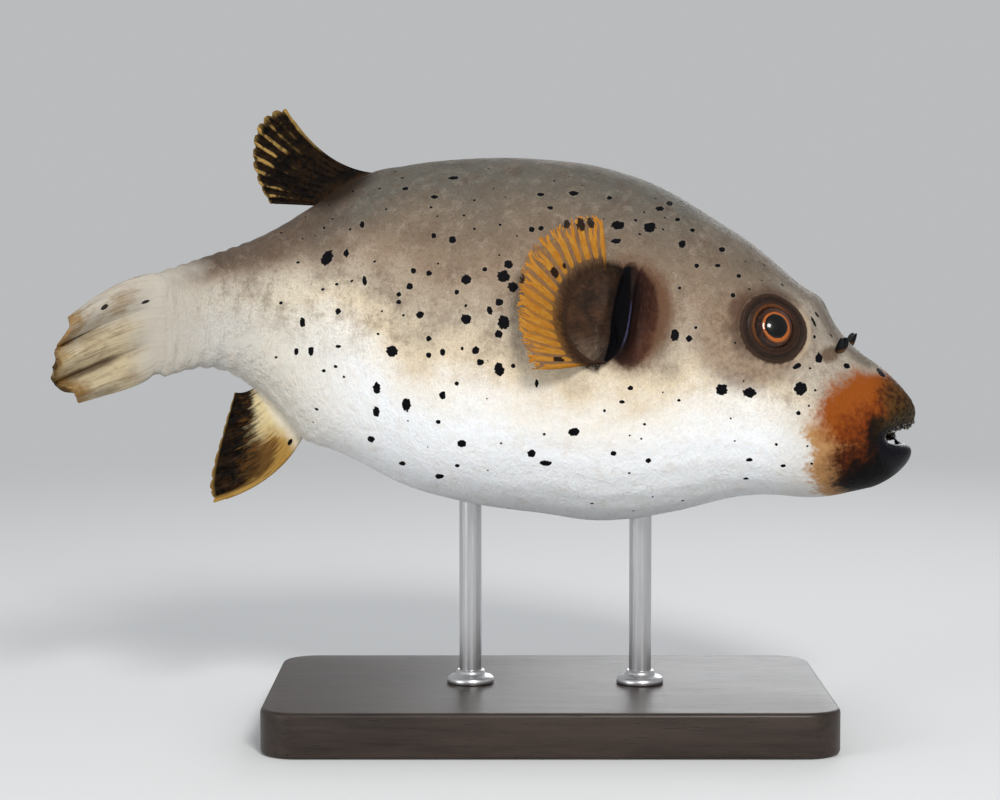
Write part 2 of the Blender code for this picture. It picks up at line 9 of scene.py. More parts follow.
import bmesh
import bpy
import numpy as np
from bpy.props import FloatProperty, FloatVectorProperty, PointerProperty
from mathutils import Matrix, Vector


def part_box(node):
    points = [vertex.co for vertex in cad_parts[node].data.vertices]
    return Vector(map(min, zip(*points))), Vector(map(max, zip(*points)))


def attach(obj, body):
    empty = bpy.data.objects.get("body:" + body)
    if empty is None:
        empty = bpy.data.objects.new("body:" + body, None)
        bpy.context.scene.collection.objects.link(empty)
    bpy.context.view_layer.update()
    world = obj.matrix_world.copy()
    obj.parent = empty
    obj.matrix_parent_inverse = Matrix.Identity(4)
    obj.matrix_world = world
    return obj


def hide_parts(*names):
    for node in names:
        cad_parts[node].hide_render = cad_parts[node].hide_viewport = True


bl_info = {
    "name": "Blackspotted puffer finish",
    "version": (1, 0, 0),
    "blender": (4, 5, 0),
    "location": "3D View > Sidebar > Puffer",
    "description": "Makes the skin, eyes, beak, fins, stand finish and stage of the puffer model",
    "category": "Object",
}

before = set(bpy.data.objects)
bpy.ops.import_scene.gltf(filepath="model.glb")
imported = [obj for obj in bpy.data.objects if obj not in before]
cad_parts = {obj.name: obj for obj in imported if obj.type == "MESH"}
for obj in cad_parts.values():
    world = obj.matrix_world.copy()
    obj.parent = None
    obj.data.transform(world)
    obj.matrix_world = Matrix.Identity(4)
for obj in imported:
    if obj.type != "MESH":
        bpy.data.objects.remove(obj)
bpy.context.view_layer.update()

MM = 0.001

# ---- body: the frame's own sizes
SNOUT_X = 97.0
BACK_LINE = (
    (11.8, 100.4), (17.0, 104.4), (20.8, 109.0), (22.8, 112.4), (24.7, 116.3), (26.8, 118.1),
    (31.2, 121.0), (40.3, 129.1), (50.9, 136.5), (61.5, 143.3), (77.6, 150.3), (93.8, 153.3),
    (110.0, 154.2), (126.2, 153.3), (143.2, 149.8), (151.8, 145.7), (158.4, 141.2),
    (163.6, 138.4), (174.1, 132.8), (184.3, 128.9), (198.0, 124.2))
KEEL_LINE = (
    (11.8, 66.5), (19.0, 64.7), (24.5, 63.8), (35.0, 64.2), (45.8, 63.6), (56.4, 61.0),
    (67.0, 58.5), (77.6, 57.1), (86.0, 57.0), (99.2, 58.7), (110.0, 60.0), (126.2, 63.3),
    (137.0, 66.8), (147.8, 72.4), (158.4, 77.4), (162.5, 79.8), (168.5, 86.4), (174.5, 93.0),
    (179.7, 96.4), (184.3, 98.1), (189.3, 98.6), (193.0, 98.0), (198.0, 96.6))
HALF_WIDTH = (
    (11.8, 15.0), (19.5, 18.5), (30.0, 22.5), (40.0, 25.7), (55.0, 30.2), (70.0, 33.6),
    (90.0, 36.0), (110.0, 35.3), (130.0, 31.8), (145.0, 26.6), (160.0, 19.9), (172.0, 14.6),
    (185.0, 10.5), (193.0, 8.8), (198.0, 7.4))
WIDEST_LEVEL = ((11.8, 0.42), (45.0, 0.44), (100.0, 0.44), (150.0, 0.46), (198.0, 0.50))
BACK_SQUARENESS = ((11.8, 2.2), (35.0, 2.7), (70.0, 2.4), (198.0, 2.2))
BELLY_SQUARENESS = 2.3
HEAD_BEND_START, HEAD_BEND_RADIUS = 95.0, 290.0
TAIL_BEND_START, TAIL_BEND_RADIUS = 130.0, 120.0
MUZZLE_STATION, STEM_END = 11.8, 198.0
STEM_TIP_LENGTH = 2.6        # how far the closed end of the skin reaches past the stem

GAPE_LEVEL = 80.5
LIP_CREST_UPPER, LIP_CREST_LOWER, LIP_CREST_SIDE = 0.4, 1.3, 6.6
LIP_EDGE_UPPER, LIP_EDGE_LOWER, LIP_EDGE_SIDE = 2.6, 3.6, 8.4
LIP_HEIGHT_UPPER, LIP_HEIGHT_LOWER, LIP_HALF_WIDTH = 6.4, 4.2, 9.4
GAPE_HALF_HEIGHT, GAPE_HALF_WIDTH = 2.1, 7.0
CAVITY = ((0.0, 1.0, 2.1), (1.8, 1.08, 3.7), (5.0, 1.05, 4.5), (7.5, 0.60, 2.6))
CAVITY_DEPTH = 8.6
MUZZLE_PULL, LIP_PULL = (6.5, 6.5), (5.0, 6.0)

EYE_STATION, EYE_HEIGHT, EYE_RADIUS, EYE_OPENING = 34.4, 109.9, 8.0, 5.0
LID_RISE, LID_TOP, LID_REACH = 1.0, 6.0, 12.0
BEAK_BACK, BEAK_HALF_WIDTH, BEAK_THICK, BEAK_TURN = 2.3, 5.9, 1.1, 62.0
BEAK_EDGE, BEAK_ROOT = 1.1, 3.1
PAD_RISE = 1.75              # height of the fleshy pad that the pectoral rays grow from
FAN_SHIFT = 11.0             # how far in front of the pad's middle its fibres would meet
NOSTRIL_STATION, NOSTRIL_HEIGHT = 18.6, 103.2
NOSTRIL_TALL, NOSTRIL_WIDE = 4.2, 3.2
NOSTRIL_LEAN_BACK, NOSTRIL_LEAN_UP = 0.35, 0.8

LOBE_STATION, LOBE_HEIGHT, LOBE_RADIUS, LOBE_RISE = 81.4, 112.4, 14.5, 2.6
GILL_STATION, GILL_HEIGHT, GILL_REACH, GILL_TALL, GILL_DEPTH = 71.4, 112.6, 6.5, 16.0, 3.0
PECTORAL_ROOT_RADIUS = 12.8
PECTORAL_ROOT_ARC, PECTORAL_TIP_ARC = (90.0, 245.0), (93.0, 211.0)
PECTORAL_REACH, PECTORAL_CREST, PECTORAL_CREST_ANGLE = 24.0, 4.0, 125.0
PECTORAL_FLARE, PECTORAL_LEAN = (5.0, 7.5), 4.0
DORSAL_BASE, ANAL_BASE = (143.6, 158.6), (162.8, 175.0)
DORSAL_TIPS = ((167.0, 167.3), (173.0, 164.6), (175.8, 157.5), (174.8, 149.0), (171.2, 141.8))
ANAL_TIPS = ((186.4, 62.5), (187.0, 68.0), (185.2, 76.5), (182.8, 84.5), (180.6, 91.8))
DORSAL_SWEEP, ANAL_SWEEP = ((14.0, 0.9), (5.6, 0.6)), ((7.2, -13.2), (2.6, -2.4))
CAUDAL_LENGTHS = (24.5, 28.0, 29.0, 33.5, 30.0, 26.5, 21.5)
CAUDAL_TIP_LEVELS = (111.9, 110.3, 104.5, 100.6, 95.7, 93.2, 90.6)
CAUDAL_DROOP, CAUDAL_CURL, CAUDAL_CURL_LENGTH = (1.4, 0.58), (30.0, 60.0), 39.5
CAUDAL_PLEAT, CAUDAL_PLEATS, CAUDAL_INSET = 2.8, 3, 0.8
DORSAL_RAYS, ANAL_RAYS, PECTORAL_RAYS, CAUDAL_RAYS = 10, 10, 17, 9
ROOT_GAP, FIN_BASE_THICK = 0.3, 2.4
CAUDAL_THICK = 6.4           # thickness of the tail fin where it leaves the stem

# ---- markings
# Dark blotches of the right flank: forward of the stand's middle, height, breadth, tallness, lean
BLOTCHES = (
    (-58.2, 127.5, 2.8, 4.4, -35), (-11.8, 123.0, 3.3, 3.2, 0), (-10.0, 120.4, 2.7, 2.6, 0),
    (-10.4, 126.0, 2.3, 2.2, 0), (-12.0, 110.6, 3.1, 3.6, 0), (-12.7, 98.8, 2.7, 3.9, 10),
    (17.6, 136.3, 3.6, 2.3, 0), (25.8, 135.8, 3.2, 2.8, 0), (5.8, 82.8, 3.1, 2.3, 0),
    (44.3, 94.4, 3.2, 3.0, 0), (51.5, 93.1, 3.6, 2.6, -15), (64.9, 94.4, 3.6, 3.2, 20),
    (64.6, 92.9, 2.2, 2.4, 0), (-40.8, 103.9, 3.1, 3.3, 0), (-21.5, 111.9, 2.8, 2.8, 0),
    (-21.2, 122.4, 2.7, 2.5, 0), (32.2, 108.0, 2.3, 3.1, 0), (62.8, 102.1, 3.9, 1.4, 38),
    (-0.9, 74.3, 3.1, 1.6, 0), (-4.5, 76.9, 2.4, 2.1, 0), (-37.2, 90.3, 2.4, 3.6, 0),
    (-44.9, 93.4, 2.1, 3.2, 0), (-44.9, 88.0, 1.9, 2.6, 0), (-24.8, 132.4, 2.1, 1.9, 0),
    (-23.3, 79.7, 2.3, 2.1, 0), (-33.3, 113.1, 2.0, 2.0, 0), (-13.5, 116.0, 2.1, 2.0, 0),
    (-13.0, 107.7, 2.1, 2.0, 0), (-16.1, 114.2, 1.5, 2.3, 20), (-19.4, 103.4, 2.0, 2.1, 0),
    (-18.1, 101.1, 1.9, 1.9, 0), (34.3, 131.1, 2.1, 1.9, 0), (35.6, 107.2, 1.8, 1.8, 0),
    (69.5, 101.6, 2.0, 2.9, 0), (63.8, 99.8, 2.7, 1.3, 25), (77.5, 99.5, 1.9, 1.4, -20),
    (17.1, 132.2, 2.6, 1.3, 0), (19.9, 125.0, 2.6, 1.5, 0), (6.0, 144.5, 2.6, 1.3, 0),
    (-1.9, 144.5, 2.0, 1.0, 0), (28.4, 140.1, 2.3, 1.3, 0), (31.5, 141.7, 2.0, 1.3, 0),
    (44.6, 129.9, 1.8, 1.3, 0), (-25.1, 148.4, 2.8, 1.0, 0), (-29.7, 143.5, 2.0, 1.0, 0),
    (-38.2, 145.5, 1.8, 1.0, 0), (-47.2, 80.5, 2.0, 1.8, 0), (-28.4, 70.7, 2.3, 1.5, 0),
    (-38.7, 73.3, 1.8, 1.3, 0), (-27.4, 93.1, 1.8, 2.0, 0), (-36.1, 120.3, 1.8, 1.8, 0),
    (-35.4, 124.2, 1.5, 1.5, 0), (-31.0, 123.7, 1.5, 1.4, 0), (-30.2, 133.7, 1.3, 1.5, 0),
    (-64.4, 110.6, 1.5, 2.6, 0), (-62.1, 103.4, 1.5, 2.6, 0), (-66.5, 103.4, 1.3, 2.0, 0),
    (-55.1, 113.4, 1.5, 1.8, 0), (-53.1, 128.8, 1.5, 2.0, 0), (-48.5, 121.6, 1.3, 2.6, 10),
    (-49.2, 136.3, 1.3, 1.8, 0), (-39.2, 118.3, 1.3, 1.2, 0), (-38.7, 116.5, 1.3, 1.2, 0),
    (-30.7, 107.7, 1.5, 1.4, 0), (-31.5, 103.1, 1.5, 1.5, 0), (-27.6, 103.4, 1.5, 1.8, 0),
    (16.3, 77.7, 1.5, 1.4, 0), (25.6, 75.6, 1.5, 1.3, 0), (20.7, 94.1, 1.5, 1.3, 0),
    (18.1, 90.5, 1.5, 1.0, 0), (-3.2, 95.4, 1.0, 2.0, 0), (51.8, 75.6, 1.8, 1.0, 0),
    (60.8, 73.6, 1.5, 0.8, 0), (51.3, 70.0, 1.5, 0.8, 0), (64.4, 88.0, 1.3, 1.2, 0),
    (47.1, 118.0, 1.3, 1.3, 0), (37.6, 125.5, 1.3, 1.2, 0), (43.3, 125.5, 1.5, 1.0, 0),
    (48.9, 123.2, 1.3, 1.0, 0), (36.9, 134.7, 1.5, 1.0, 0), (33.3, 137.3, 1.5, 1.0, 0),
    (15.5, 143.2, 1.5, 1.0, 0), (-0.2, 140.6, 1.5, 1.0, 0), (-5.3, 135.2, 1.5, 1.4, 0),
    (-1.9, 135.5, 1.5, 1.3, 0), (-16.3, 125.0, 1.3, 1.2, 0), (-24.1, 119.1, 1.3, 1.3, 0),
    (-9.1, 100.0, 1.3, 1.2, 0), (-24.3, 96.2, 1.3, 1.2, 0), (-29.4, 85.6, 1.3, 1.2, 0),
    (-24.6, 73.3, 1.3, 1.0, 0), (87.5, 97.2, 2.9, 1.5, -45), (68.7, 111.3, 2.8, 0.8, -65),
    (69.9, 112.8, 1.9, 0.7, -55), (69.0, 107.2, 0.9, 1.0, 0))
SMALL_SPOTS_RIGHT, SPOTS_LEFT = 120, 230
SPOT_LAYERS, SPOT_MARGIN, MARKING_SEED = 5, 1.7, 11
BARE_STATION, BARE_HEIGHT = 77.0, 112.0      # middle of the gill and pad: no spots are scattered there
TAIL_ROOT_COLOR = (0.44, 0.405, 0.35)


# ---- curves and noise
class Spline:
    """Natural cubic spline through (place, value) points."""

    def __init__(self, points):
        self.x, self.y = np.array(points, float).T
        count, step = len(self.x), np.diff(self.x)
        matrix, right = np.eye(count), np.zeros(count)
        slope = np.diff(self.y) / step
        for i in range(1, count - 1):
            matrix[i, i - 1:i + 2] = step[i - 1], 2 * (step[i - 1] + step[i]), step[i]
            right[i] = 6 * (slope[i] - slope[i - 1])
        self.bend = np.linalg.solve(matrix, right)

    def __call__(self, place):
        place = np.asarray(place, float)
        i = np.clip(np.searchsorted(self.x, place) - 1, 0, len(self.x) - 2)
        step = self.x[i + 1] - self.x[i]
        a, b = (self.x[i + 1] - place) / step, (place - self.x[i]) / step
        curve = ((a ** 3 - a) * self.bend[i] + (b ** 3 - b) * self.bend[i + 1]) * step ** 2 / 6
        return a * self.y[i] + b * self.y[i + 1] + curve


back_height = Spline(BACK_LINE)
keel_height = Spline(KEEL_LINE)
half_width = Spline(HALF_WIDTH)
widest_level = Spline(WIDEST_LEVEL)
back_squareness = Spline(BACK_SQUARENESS)
# the gill slit runs down in front of the pectoral lobe: (height, station)
slit_station = Spline(((99.5, 82.6), (104.7, 79.0), (110.7, 77.6), (117.1, 76.6), (124.5, 75.4)))


def bell(distance):
    """Smooth bump: 1 at distance 0, and 0 from distance 1 on."""
    return np.maximum(1 - np.asarray(distance) ** 2, 0) ** 2


def ridge(distance, width):
    """Smooth ridge of height 1 along distance 0."""
    return np.exp(-(distance / width) ** 2)


def ease(value, start, end):
    """Smooth step from 0 at start to 1 at end."""
    t = np.clip((value - start) / (end - start), 0, 1)
    return t * t * (3 - 2 * t)


def lattice(cell, seed):
    """Repeatable number from -1 to 1 for each whole-numbered place."""
    value = np.sin(cell @ np.array([127.1, 311.7, 74.7]) + seed * 53.3) * 43758.5453
    return 2 * (value - np.floor(value)) - 1


def soft_noise(points, size, seed=0):
    """Smooth noise from -1 to 1 whose features are about as large as size."""
    scaled = points / size
    cell = np.floor(scaled)
    t = scaled - cell
    t = t * t * (3 - 2 * t)
    total = 0.0
    for corner in np.ndindex(2, 2, 2):
        weight = np.prod(np.where(corner, t, 1 - t), axis=-1)
        total = total + weight * lattice(cell + corner, seed)
    return total


# ---- body surface
def heading(station):
    """Angle in plan between +X and the way the body points at a station."""
    head = np.maximum(HEAD_BEND_START - station, 0) / HEAD_BEND_RADIUS
    tail = np.maximum(station - TAIL_BEND_START, 0) / TAIL_BEND_RADIUS
    return np.arctan(tail - head)


def place(station, side, height):
    """World point, in mm, of a place given by station, side offset and height."""
    station, side, height = np.broadcast_arrays(station, side, height)
    angle = heading(station)
    head = np.maximum(HEAD_BEND_START - station, 0) ** 2 / (2 * HEAD_BEND_RADIUS)
    tail = np.maximum(station - TAIL_BEND_START, 0) ** 2 / (2 * TAIL_BEND_RADIUS)
    x = SNOUT_X - station - side * np.sin(angle)
    y = -head - tail + side * np.cos(angle)
    return np.stack([x, y, height], axis=-1)


def flank_relief(station, height):
    """How far the flank stands out for the eyelids, the pectoral lobe and the gill hollow."""
    lid = np.hypot(station - EYE_STATION, height - EYE_HEIGHT) - LID_TOP
    lid = np.maximum(lid, 0) / (LID_REACH - LID_TOP)
    lobe = np.hypot(station - LOBE_STATION, height - LOBE_HEIGHT) / LOBE_RADIUS
    gill = np.hypot((station - GILL_STATION) / GILL_REACH, (height - GILL_HEIGHT) / GILL_TALL)
    return LID_RISE * bell(lid) + LOBE_RISE * bell(lobe) - GILL_DEPTH * bell(gill)


def section(station, angle):
    """Side offsets and heights of the body's outline across a station."""
    back, keel = back_height(station), keel_height(station)
    middle = keel + widest_level(station) * (back - keel)
    power = np.where(np.sin(angle) > 0, back_squareness(station), BELLY_SQUARENESS)
    c, s = np.cos(angle), np.sin(angle)
    reach = (np.abs(c) ** power + np.abs(s) ** power) ** (-1 / power)
    height = middle + reach * s * np.where(s > 0, back - middle, middle - keel)
    side = half_width(station) * reach * c
    return side + np.sign(c) * np.abs(c) ** 0.5 * flank_relief(station, height), height


def flank_side(station, height, sign):
    """Side offset of the flank at stations and heights, found by bisection on the angle."""
    station, height = np.broadcast_arrays(np.asarray(station, float), height)
    low, high = np.full(station.shape, -math.pi / 2), np.full(station.shape, math.pi / 2)
    for _ in range(40):
        angle = (low + high) / 2
        under = section(station, angle)[1] < height
        low, high = np.where(under, angle, low), np.where(under, high, angle)
    return sign * section(station, (low + high) / 2)[0]


def flank_frame(station, height, sign):
    """A flank point, its forward direction and its outward normal."""
    def at(s, h):
        return place(s, flank_side(s, h, sign), h)

    forward = at(station - 1, height) - at(station + 1, height)
    upward = at(station, height + 1) - at(station, height - 1)
    forward /= np.linalg.norm(forward)
    out = np.cross(upward, forward) * sign
    return at(station, height), forward, out / np.linalg.norm(out)


def eye_seat(sign):
    """Middle of the eyeball, its forward direction and the way the eye looks."""
    lid, forward, out = flank_frame(EYE_STATION, EYE_HEIGHT, sign)
    return lid - out * math.sqrt(EYE_RADIUS ** 2 - EYE_OPENING ** 2), forward, out


# ---- mesh helpers
def unit(vectors):
    """The same directions with a length of 1."""
    return vectors / (np.linalg.norm(vectors, axis=-1, keepdims=True) + 1e-9)


def add_object(name, data):
    """New object in the scene's own collection."""
    thing = bpy.data.objects.new(name, data)
    bpy.context.scene.collection.objects.link(thing)
    return thing


def add_values(mesh, key, value):
    """Stores a number or a vector for each point of a mesh."""
    kind, field = ("FLOAT_VECTOR", "vector") if np.ndim(value) == 2 else ("FLOAT", "value")
    layer = mesh.attributes.new(key, kind, "POINT")
    layer.data.foreach_set(field, np.asarray(value, np.float32).ravel())


def make_piece(name, points, faces, values=None, corners=None, material=None):
    """Plain smooth mesh from points in mm, with named point values and a bake map, facing out."""
    mesh = bpy.data.meshes.new(name)
    if material:
        mesh.materials.append(material)
    mesh.from_pydata((np.asarray(points, float) * MM).tolist(), [], faces)
    for key, value in (values or {}).items():
        add_values(mesh, key, value)
    if corners is not None:
        layer = mesh.uv_layers.new(name="OFBake")
        layer.uv.foreach_set("vector", np.asarray(corners, np.float32).ravel())
    work = bmesh.new()
    work.from_mesh(mesh)
    bmesh.ops.recalc_face_normals(work, faces=work.faces)
    work.to_mesh(mesh)
    work.free()
    mesh.shade_smooth()
    return add_object(name, mesh)


def tube(rings):
    """Points, faces and bake corners of a closed tube through rings, with a point at each end."""
    count, around = rings.shape[:2]
    points = np.concatenate([rings.reshape(-1, 3), [rings[0].mean(0), rings[-1].mean(0)]])
    faces, corners = [], []
    margin, room = 0.01, 0.98

    def spot(row, column):
        return margin + room * column / around, margin + room * (row + 1) / (count + 1)

    for r in range(count - 1):
        for i in range(around):
            j = (i + 1) % around
            faces.append((r * around + i, r * around + j, (r + 1) * around + j,
                          (r + 1) * around + i))
            corners += [spot(r, i), spot(r, i + 1), spot(r + 1, i + 1), spot(r + 1, i)]
    for row, tip, beyond in ((0, count * around, -1), (count - 1, count * around + 1, count)):
        for i in range(around):
            faces.append((row * around + i, row * around + (i + 1) % around, tip))
            corners += [spot(row, i), spot(row, i + 1), spot(beyond, i + 0.5)]
    return points, faces, corners


def thick_sheet(middle, thickness):
    """Points, faces and bake corners of a closed sheet about a grid of middle points."""
    normal = unit(np.cross(np.gradient(middle, axis=0), np.gradient(middle, axis=1)))
    offset = normal * thickness[..., None] / 2
    rows, columns = middle.shape[:2]
    points = np.concatenate([(middle + offset).reshape(-1, 3), (middle - offset).reshape(-1, 3)])
    under = rows * columns
    faces, corners = [], []

    def spot(index, half):
        row, column = divmod(index % under, columns)
        return 0.01 + 0.48 * column / (columns - 1) + 0.5 * half, 0.01 + 0.98 * row / (rows - 1)

    for r in range(rows - 1):
        for c in range(columns - 1):
            a = r * columns + c
            quad = (a, a + 1, a + columns + 1, a + columns)
            faces += [quad, tuple(under + i for i in reversed(quad))]
            corners += [spot(i, 0) for i in quad] + [spot(i, 1) for i in reversed(quad)]
    rim = list(range(columns)) + [r * columns + columns - 1 for r in range(1, rows)]
    rim += [(rows - 1) * columns + c for c in range(columns - 2, -1, -1)]
    rim += [r * columns for r in range(rows - 2, 0, -1)]
    for a, b in zip(rim, rim[1:] + rim[:1]):
        faces.append((b, a, under + a, under + b))
        corners += [spot(b, 0), spot(a, 0), spot(a, 0), spot(b, 0)]
    return points, faces, corners


def settle(piece, slot, *nodes):
    """A finished piece rides on the one body and stands for its CAD nodes; the slot is not used."""
    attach(piece, "root")
    if nodes:
        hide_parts(*nodes)
    return piece


# ---- node trees as expressions
class Wire:
    """A node's output; sums and products of wires add Math nodes to their tree."""

    def __init__(self, tree, socket):
        self.tree, self.socket = tree, socket

    def __add__(self, other):
        return self.tree.sum("ADD", self, other)

    def __sub__(self, other):
        return self.tree.sum("SUBTRACT", self, other)

    def __mul__(self, other):
        return self.tree.sum("MULTIPLY", self, other)

    def __truediv__(self, other):
        return self.tree.sum("DIVIDE", self, other)

    def __rsub__(self, other):
        return self.tree.sum("SUBTRACT", other, self)

    def __rtruediv__(self, other):
        return self.tree.sum("DIVIDE", other, self)

    __radd__, __rmul__ = __add__, __mul__

    def step(self, start, end):
        """Smooth step of this value from 0 at start to 1 at end."""
        settings = {"interpolation_type": "SMOOTHSTEP"}
        low, high = (start, end) if start < end else (end, start)
        wire = self.tree.add("ShaderNodeMapRange", settings,
                             {"Value": self, "From Min": low, "From Max": high})
        return wire if start < end else 1 - wire

    def waves(self, period):
        """Sine of this value, one wave for each period."""
        return self.tree.sum("SINE", self * (2 * math.pi / period))


class Tree:
    """Adds nodes to a node tree."""

    def __init__(self, tree):
        self.tree = tree

    def add(self, kind, settings=None, sockets=None, output=0):
        """Node of a kind: its settings first, then values or links for its sockets."""
        node = self.tree.nodes.new(kind)
        for key, value in (settings or {}).items():
            if key == "stops":
                self.set_stops(node.color_ramp, value)
            else:
                setattr(node, key, value)
        for key, value in (sockets or {}).items():
            shown = [s for s in node.inputs if s.enabled and s.name == key]
            socket = node.inputs[key] if isinstance(key, int) else shown[0]
            if isinstance(value, Wire):
                self.tree.links.new(value.socket, socket)
            elif isinstance(value, (tuple, list)) and socket.type == "RGBA" and len(value) == 3:
                socket.default_value = (*value, 1.0)
            else:
                socket.default_value = value
        shown = [s for s in node.outputs if s.enabled]
        return Wire(self, node.outputs[output] if isinstance(output, str) else shown[output])

    @staticmethod
    def set_stops(ramp, stops):
        while len(ramp.elements) < len(stops):
            ramp.elements.new(0.5)
        for element, (position, color) in zip(ramp.elements, stops):
            element.position, element.color = position, (*color, 1.0)

    def sum(self, operation, *values):
        return self.add("ShaderNodeMath", {"operation": operation}, dict(enumerate(values)))

    def value(self, name):
        """A named point value of the mesh."""
        return self.add("ShaderNodeAttribute", {"attribute_name": name}, output="Fac")

    def length(self, wire):
        return self.add("ShaderNodeVectorMath", {"operation": "LENGTH"}, {0: wire},
                        output="Value")

    def own_length(self, name):
        """Length of a named point vector of the mesh."""
        return self.length(self.add("ShaderNodeAttribute", {"attribute_name": name},
                                    output="Vector"))

    def oval(self, first, second):
        """Distance from the middle of an oval: each part is (wire, middle, half size)."""
        parts = [self.sum("POWER", (wire - middle) / half, 2.0)
                 for wire, middle, half in (first, second)]
        return self.sum("SQRT", parts[0] + parts[1])

    def least(self, *wires):
        result = wires[0]
        for wire in wires[1:]:
            result = self.sum("MINIMUM", result, wire)
        return result

    def here(self):
        return self.add("ShaderNodeTexCoord", output="Object")

    def noise(self, size, detail=3.0, rough=0.5, stretch=None):
        """Noise from 0 to 1 with features of a size in mm."""
        where = self.here()
        if stretch:
            where = self.add("ShaderNodeVectorMath", {"operation": "MULTIPLY"},
                             {0: where, 1: stretch})
        return self.noise_at(where, 1 / (size * MM), detail, rough)

    def noise_at(self, where, scale=1.0, detail=3.0, rough=0.6):
        sockets = {"Vector": where, "Scale": scale, "Detail": detail, "Roughness": rough}
        return self.add("ShaderNodeTexNoise", {}, sockets)

    def cells(self, size):
        """Distance to the nearest of scattered points, in cells of a size in mm."""
        sockets = {"Vector": self.here(), "Scale": 1 / (size * MM)}
        return self.add("ShaderNodeTexVoronoi", {}, sockets, output="Distance")

    def mix(self, factor, first, second, blend="MIX"):
        settings = {"data_type": "RGBA", "blend_type": blend}
        return self.add("ShaderNodeMix", settings, {"Factor": factor, "A": first, "B": second})

    def ramp(self, value, *stops):
        return self.add("ShaderNodeValToRGB", {"stops": stops}, {"Fac": value})


def new_material(name, constants=None):
    """Material with a surface shader whose fixed values are set on its own sockets."""
    material = bpy.data.materials.new(name)
    material.use_nodes = True
    shader = material.node_tree.nodes["Principled BSDF"]
    for key, value in (constants or {}).items():
        shader.inputs[key].default_value = value
    return material, Tree(material.node_tree), shader


def join_surface(tree, shader, color, roughness=None, coat=None, bumps=()):
    """Links what changes over the surface; bumps are (height wire, depth in mm)."""
    wires = {"Base Color": color, "Roughness": roughness, "Coat Weight": coat}
    for key, wire in wires.items():
        if wire is not None:
            tree.tree.links.new(wire.socket, shader.inputs[key])
    normal = None
    for wire, depth in bumps:
        sockets = {"Height": wire, "Distance": depth * MM, "Strength": 1.0}
        if normal:
            sockets["Normal"] = normal
        normal = tree.add("ShaderNodeBump", {}, sockets)
    if normal:
        tree.tree.links.new(normal.socket, shader.inputs["Normal"])


def apply_nodes(carrier, group, settings):
    """Runs a geometry tree on a carrier object and returns the plain mesh that it makes."""
    modifier = carrier.modifiers.new(group.name, "NODES")
    modifier.node_group = group
    names = {item.name: item.identifier for item in group.interface.items_tree
             if item.in_out == "INPUT"}
    for key, value in settings.items():
        modifier[names[key]] = value
    carrier.update_tag()
    graph = bpy.context.evaluated_depsgraph_get()
    mesh = bpy.data.meshes.new_from_object(carrier.evaluated_get(graph), depsgraph=graph)
    carrier.modifiers.remove(modifier)
    mesh.name = carrier.name
    carrier.data = mesh
    return carrier


def new_group(name, inputs):
    """Geometry tree with named inputs; returns the tree and a function for its input wires."""
    group = bpy.data.node_groups.new(name, "GeometryNodeTree")
    for key, kind in inputs:
        group.interface.new_socket(key, in_out="INPUT", socket_type="NodeSocket" + kind)
    group.interface.new_socket("Geometry", in_out="OUTPUT", socket_type="NodeSocketGeometry")
    tree = Tree(group)
    source = group.nodes.new("NodeGroupInput")

    def given(key):
        return Wire(tree, source.outputs[key])

    return tree, given


def end_group(tree, wire, material):
    """Realises the instances, sets the material and ends the tree."""
    real = tree.add("GeometryNodeRealizeInstances", {}, {"Geometry": wire})
    smooth = tree.add("GeometryNodeSetShadeSmooth", {}, {"Geometry": real})
    dressed = tree.add("GeometryNodeSetMaterial", {}, {"Geometry": smooth, "Material": material})
    result = tree.tree.nodes.new("NodeGroupOutput")
    tree.tree.links.new(dressed.socket, result.inputs["Geometry"])
    return tree.tree


def named(tree, name, kind="FLOAT"):
    return tree.add("GeometryNodeInputNamedAttribute", {"data_type": kind}, {"Name": name})


# ---- the skin
SKIN_COLUMNS = 272
ROW_SPANS = (                # (from station, to station, spacing)
    (11.8, 24.0, 0.50), (24.0, 46.0, 0.27), (46.0, 64.0, 0.80), (64.0, 97.0, 0.50),
    (97.0, 150.0, 1.20), (150.0, 180.0, 0.75), (180.0, 198.0, 0.60))
EYE_ANGLE, EYE_ANGLE_SPREAD, EYE_CROWDING = 33.5, 24.0, 2.2
TAIL_TAPER = 0.48            # how much of its breadth the stem loses to meet the tail fin
STEM_TIP_FIRST, STEM_TIP_ROWS = 0.35, 7
STEM_TIP_NARROWING, STEM_TIP_LOWERING = 0.13, 0.03     # shares lost for each mm past the stem
LID_SKIN_REACH, CAP_TUCK = 14.0, 5.45        # from the eye's axis: the folds, and under the eyeball
LIP_ROWS, LIP_TURN_ROWS, CAVITY_ROWS = 26, 12, 10


def skin_angles():
    """Angles of the skin's columns, closer together at the level of the eyes."""
    fine = np.linspace(-90.0, 270.0, 7201)
    density = 1 + EYE_CROWDING * (bell((fine - EYE_ANGLE) / EYE_ANGLE_SPREAD)
                                  + bell((fine - 180 + EYE_ANGLE) / EYE_ANGLE_SPREAD))
    total = np.concatenate([[0], np.cumsum((density[1:] + density[:-1]) / 2)])
    wanted = np.arange(SKIN_COLUMNS) / SKIN_COLUMNS * total[-1]
    return np.radians(np.interp(wanted, total, fine))


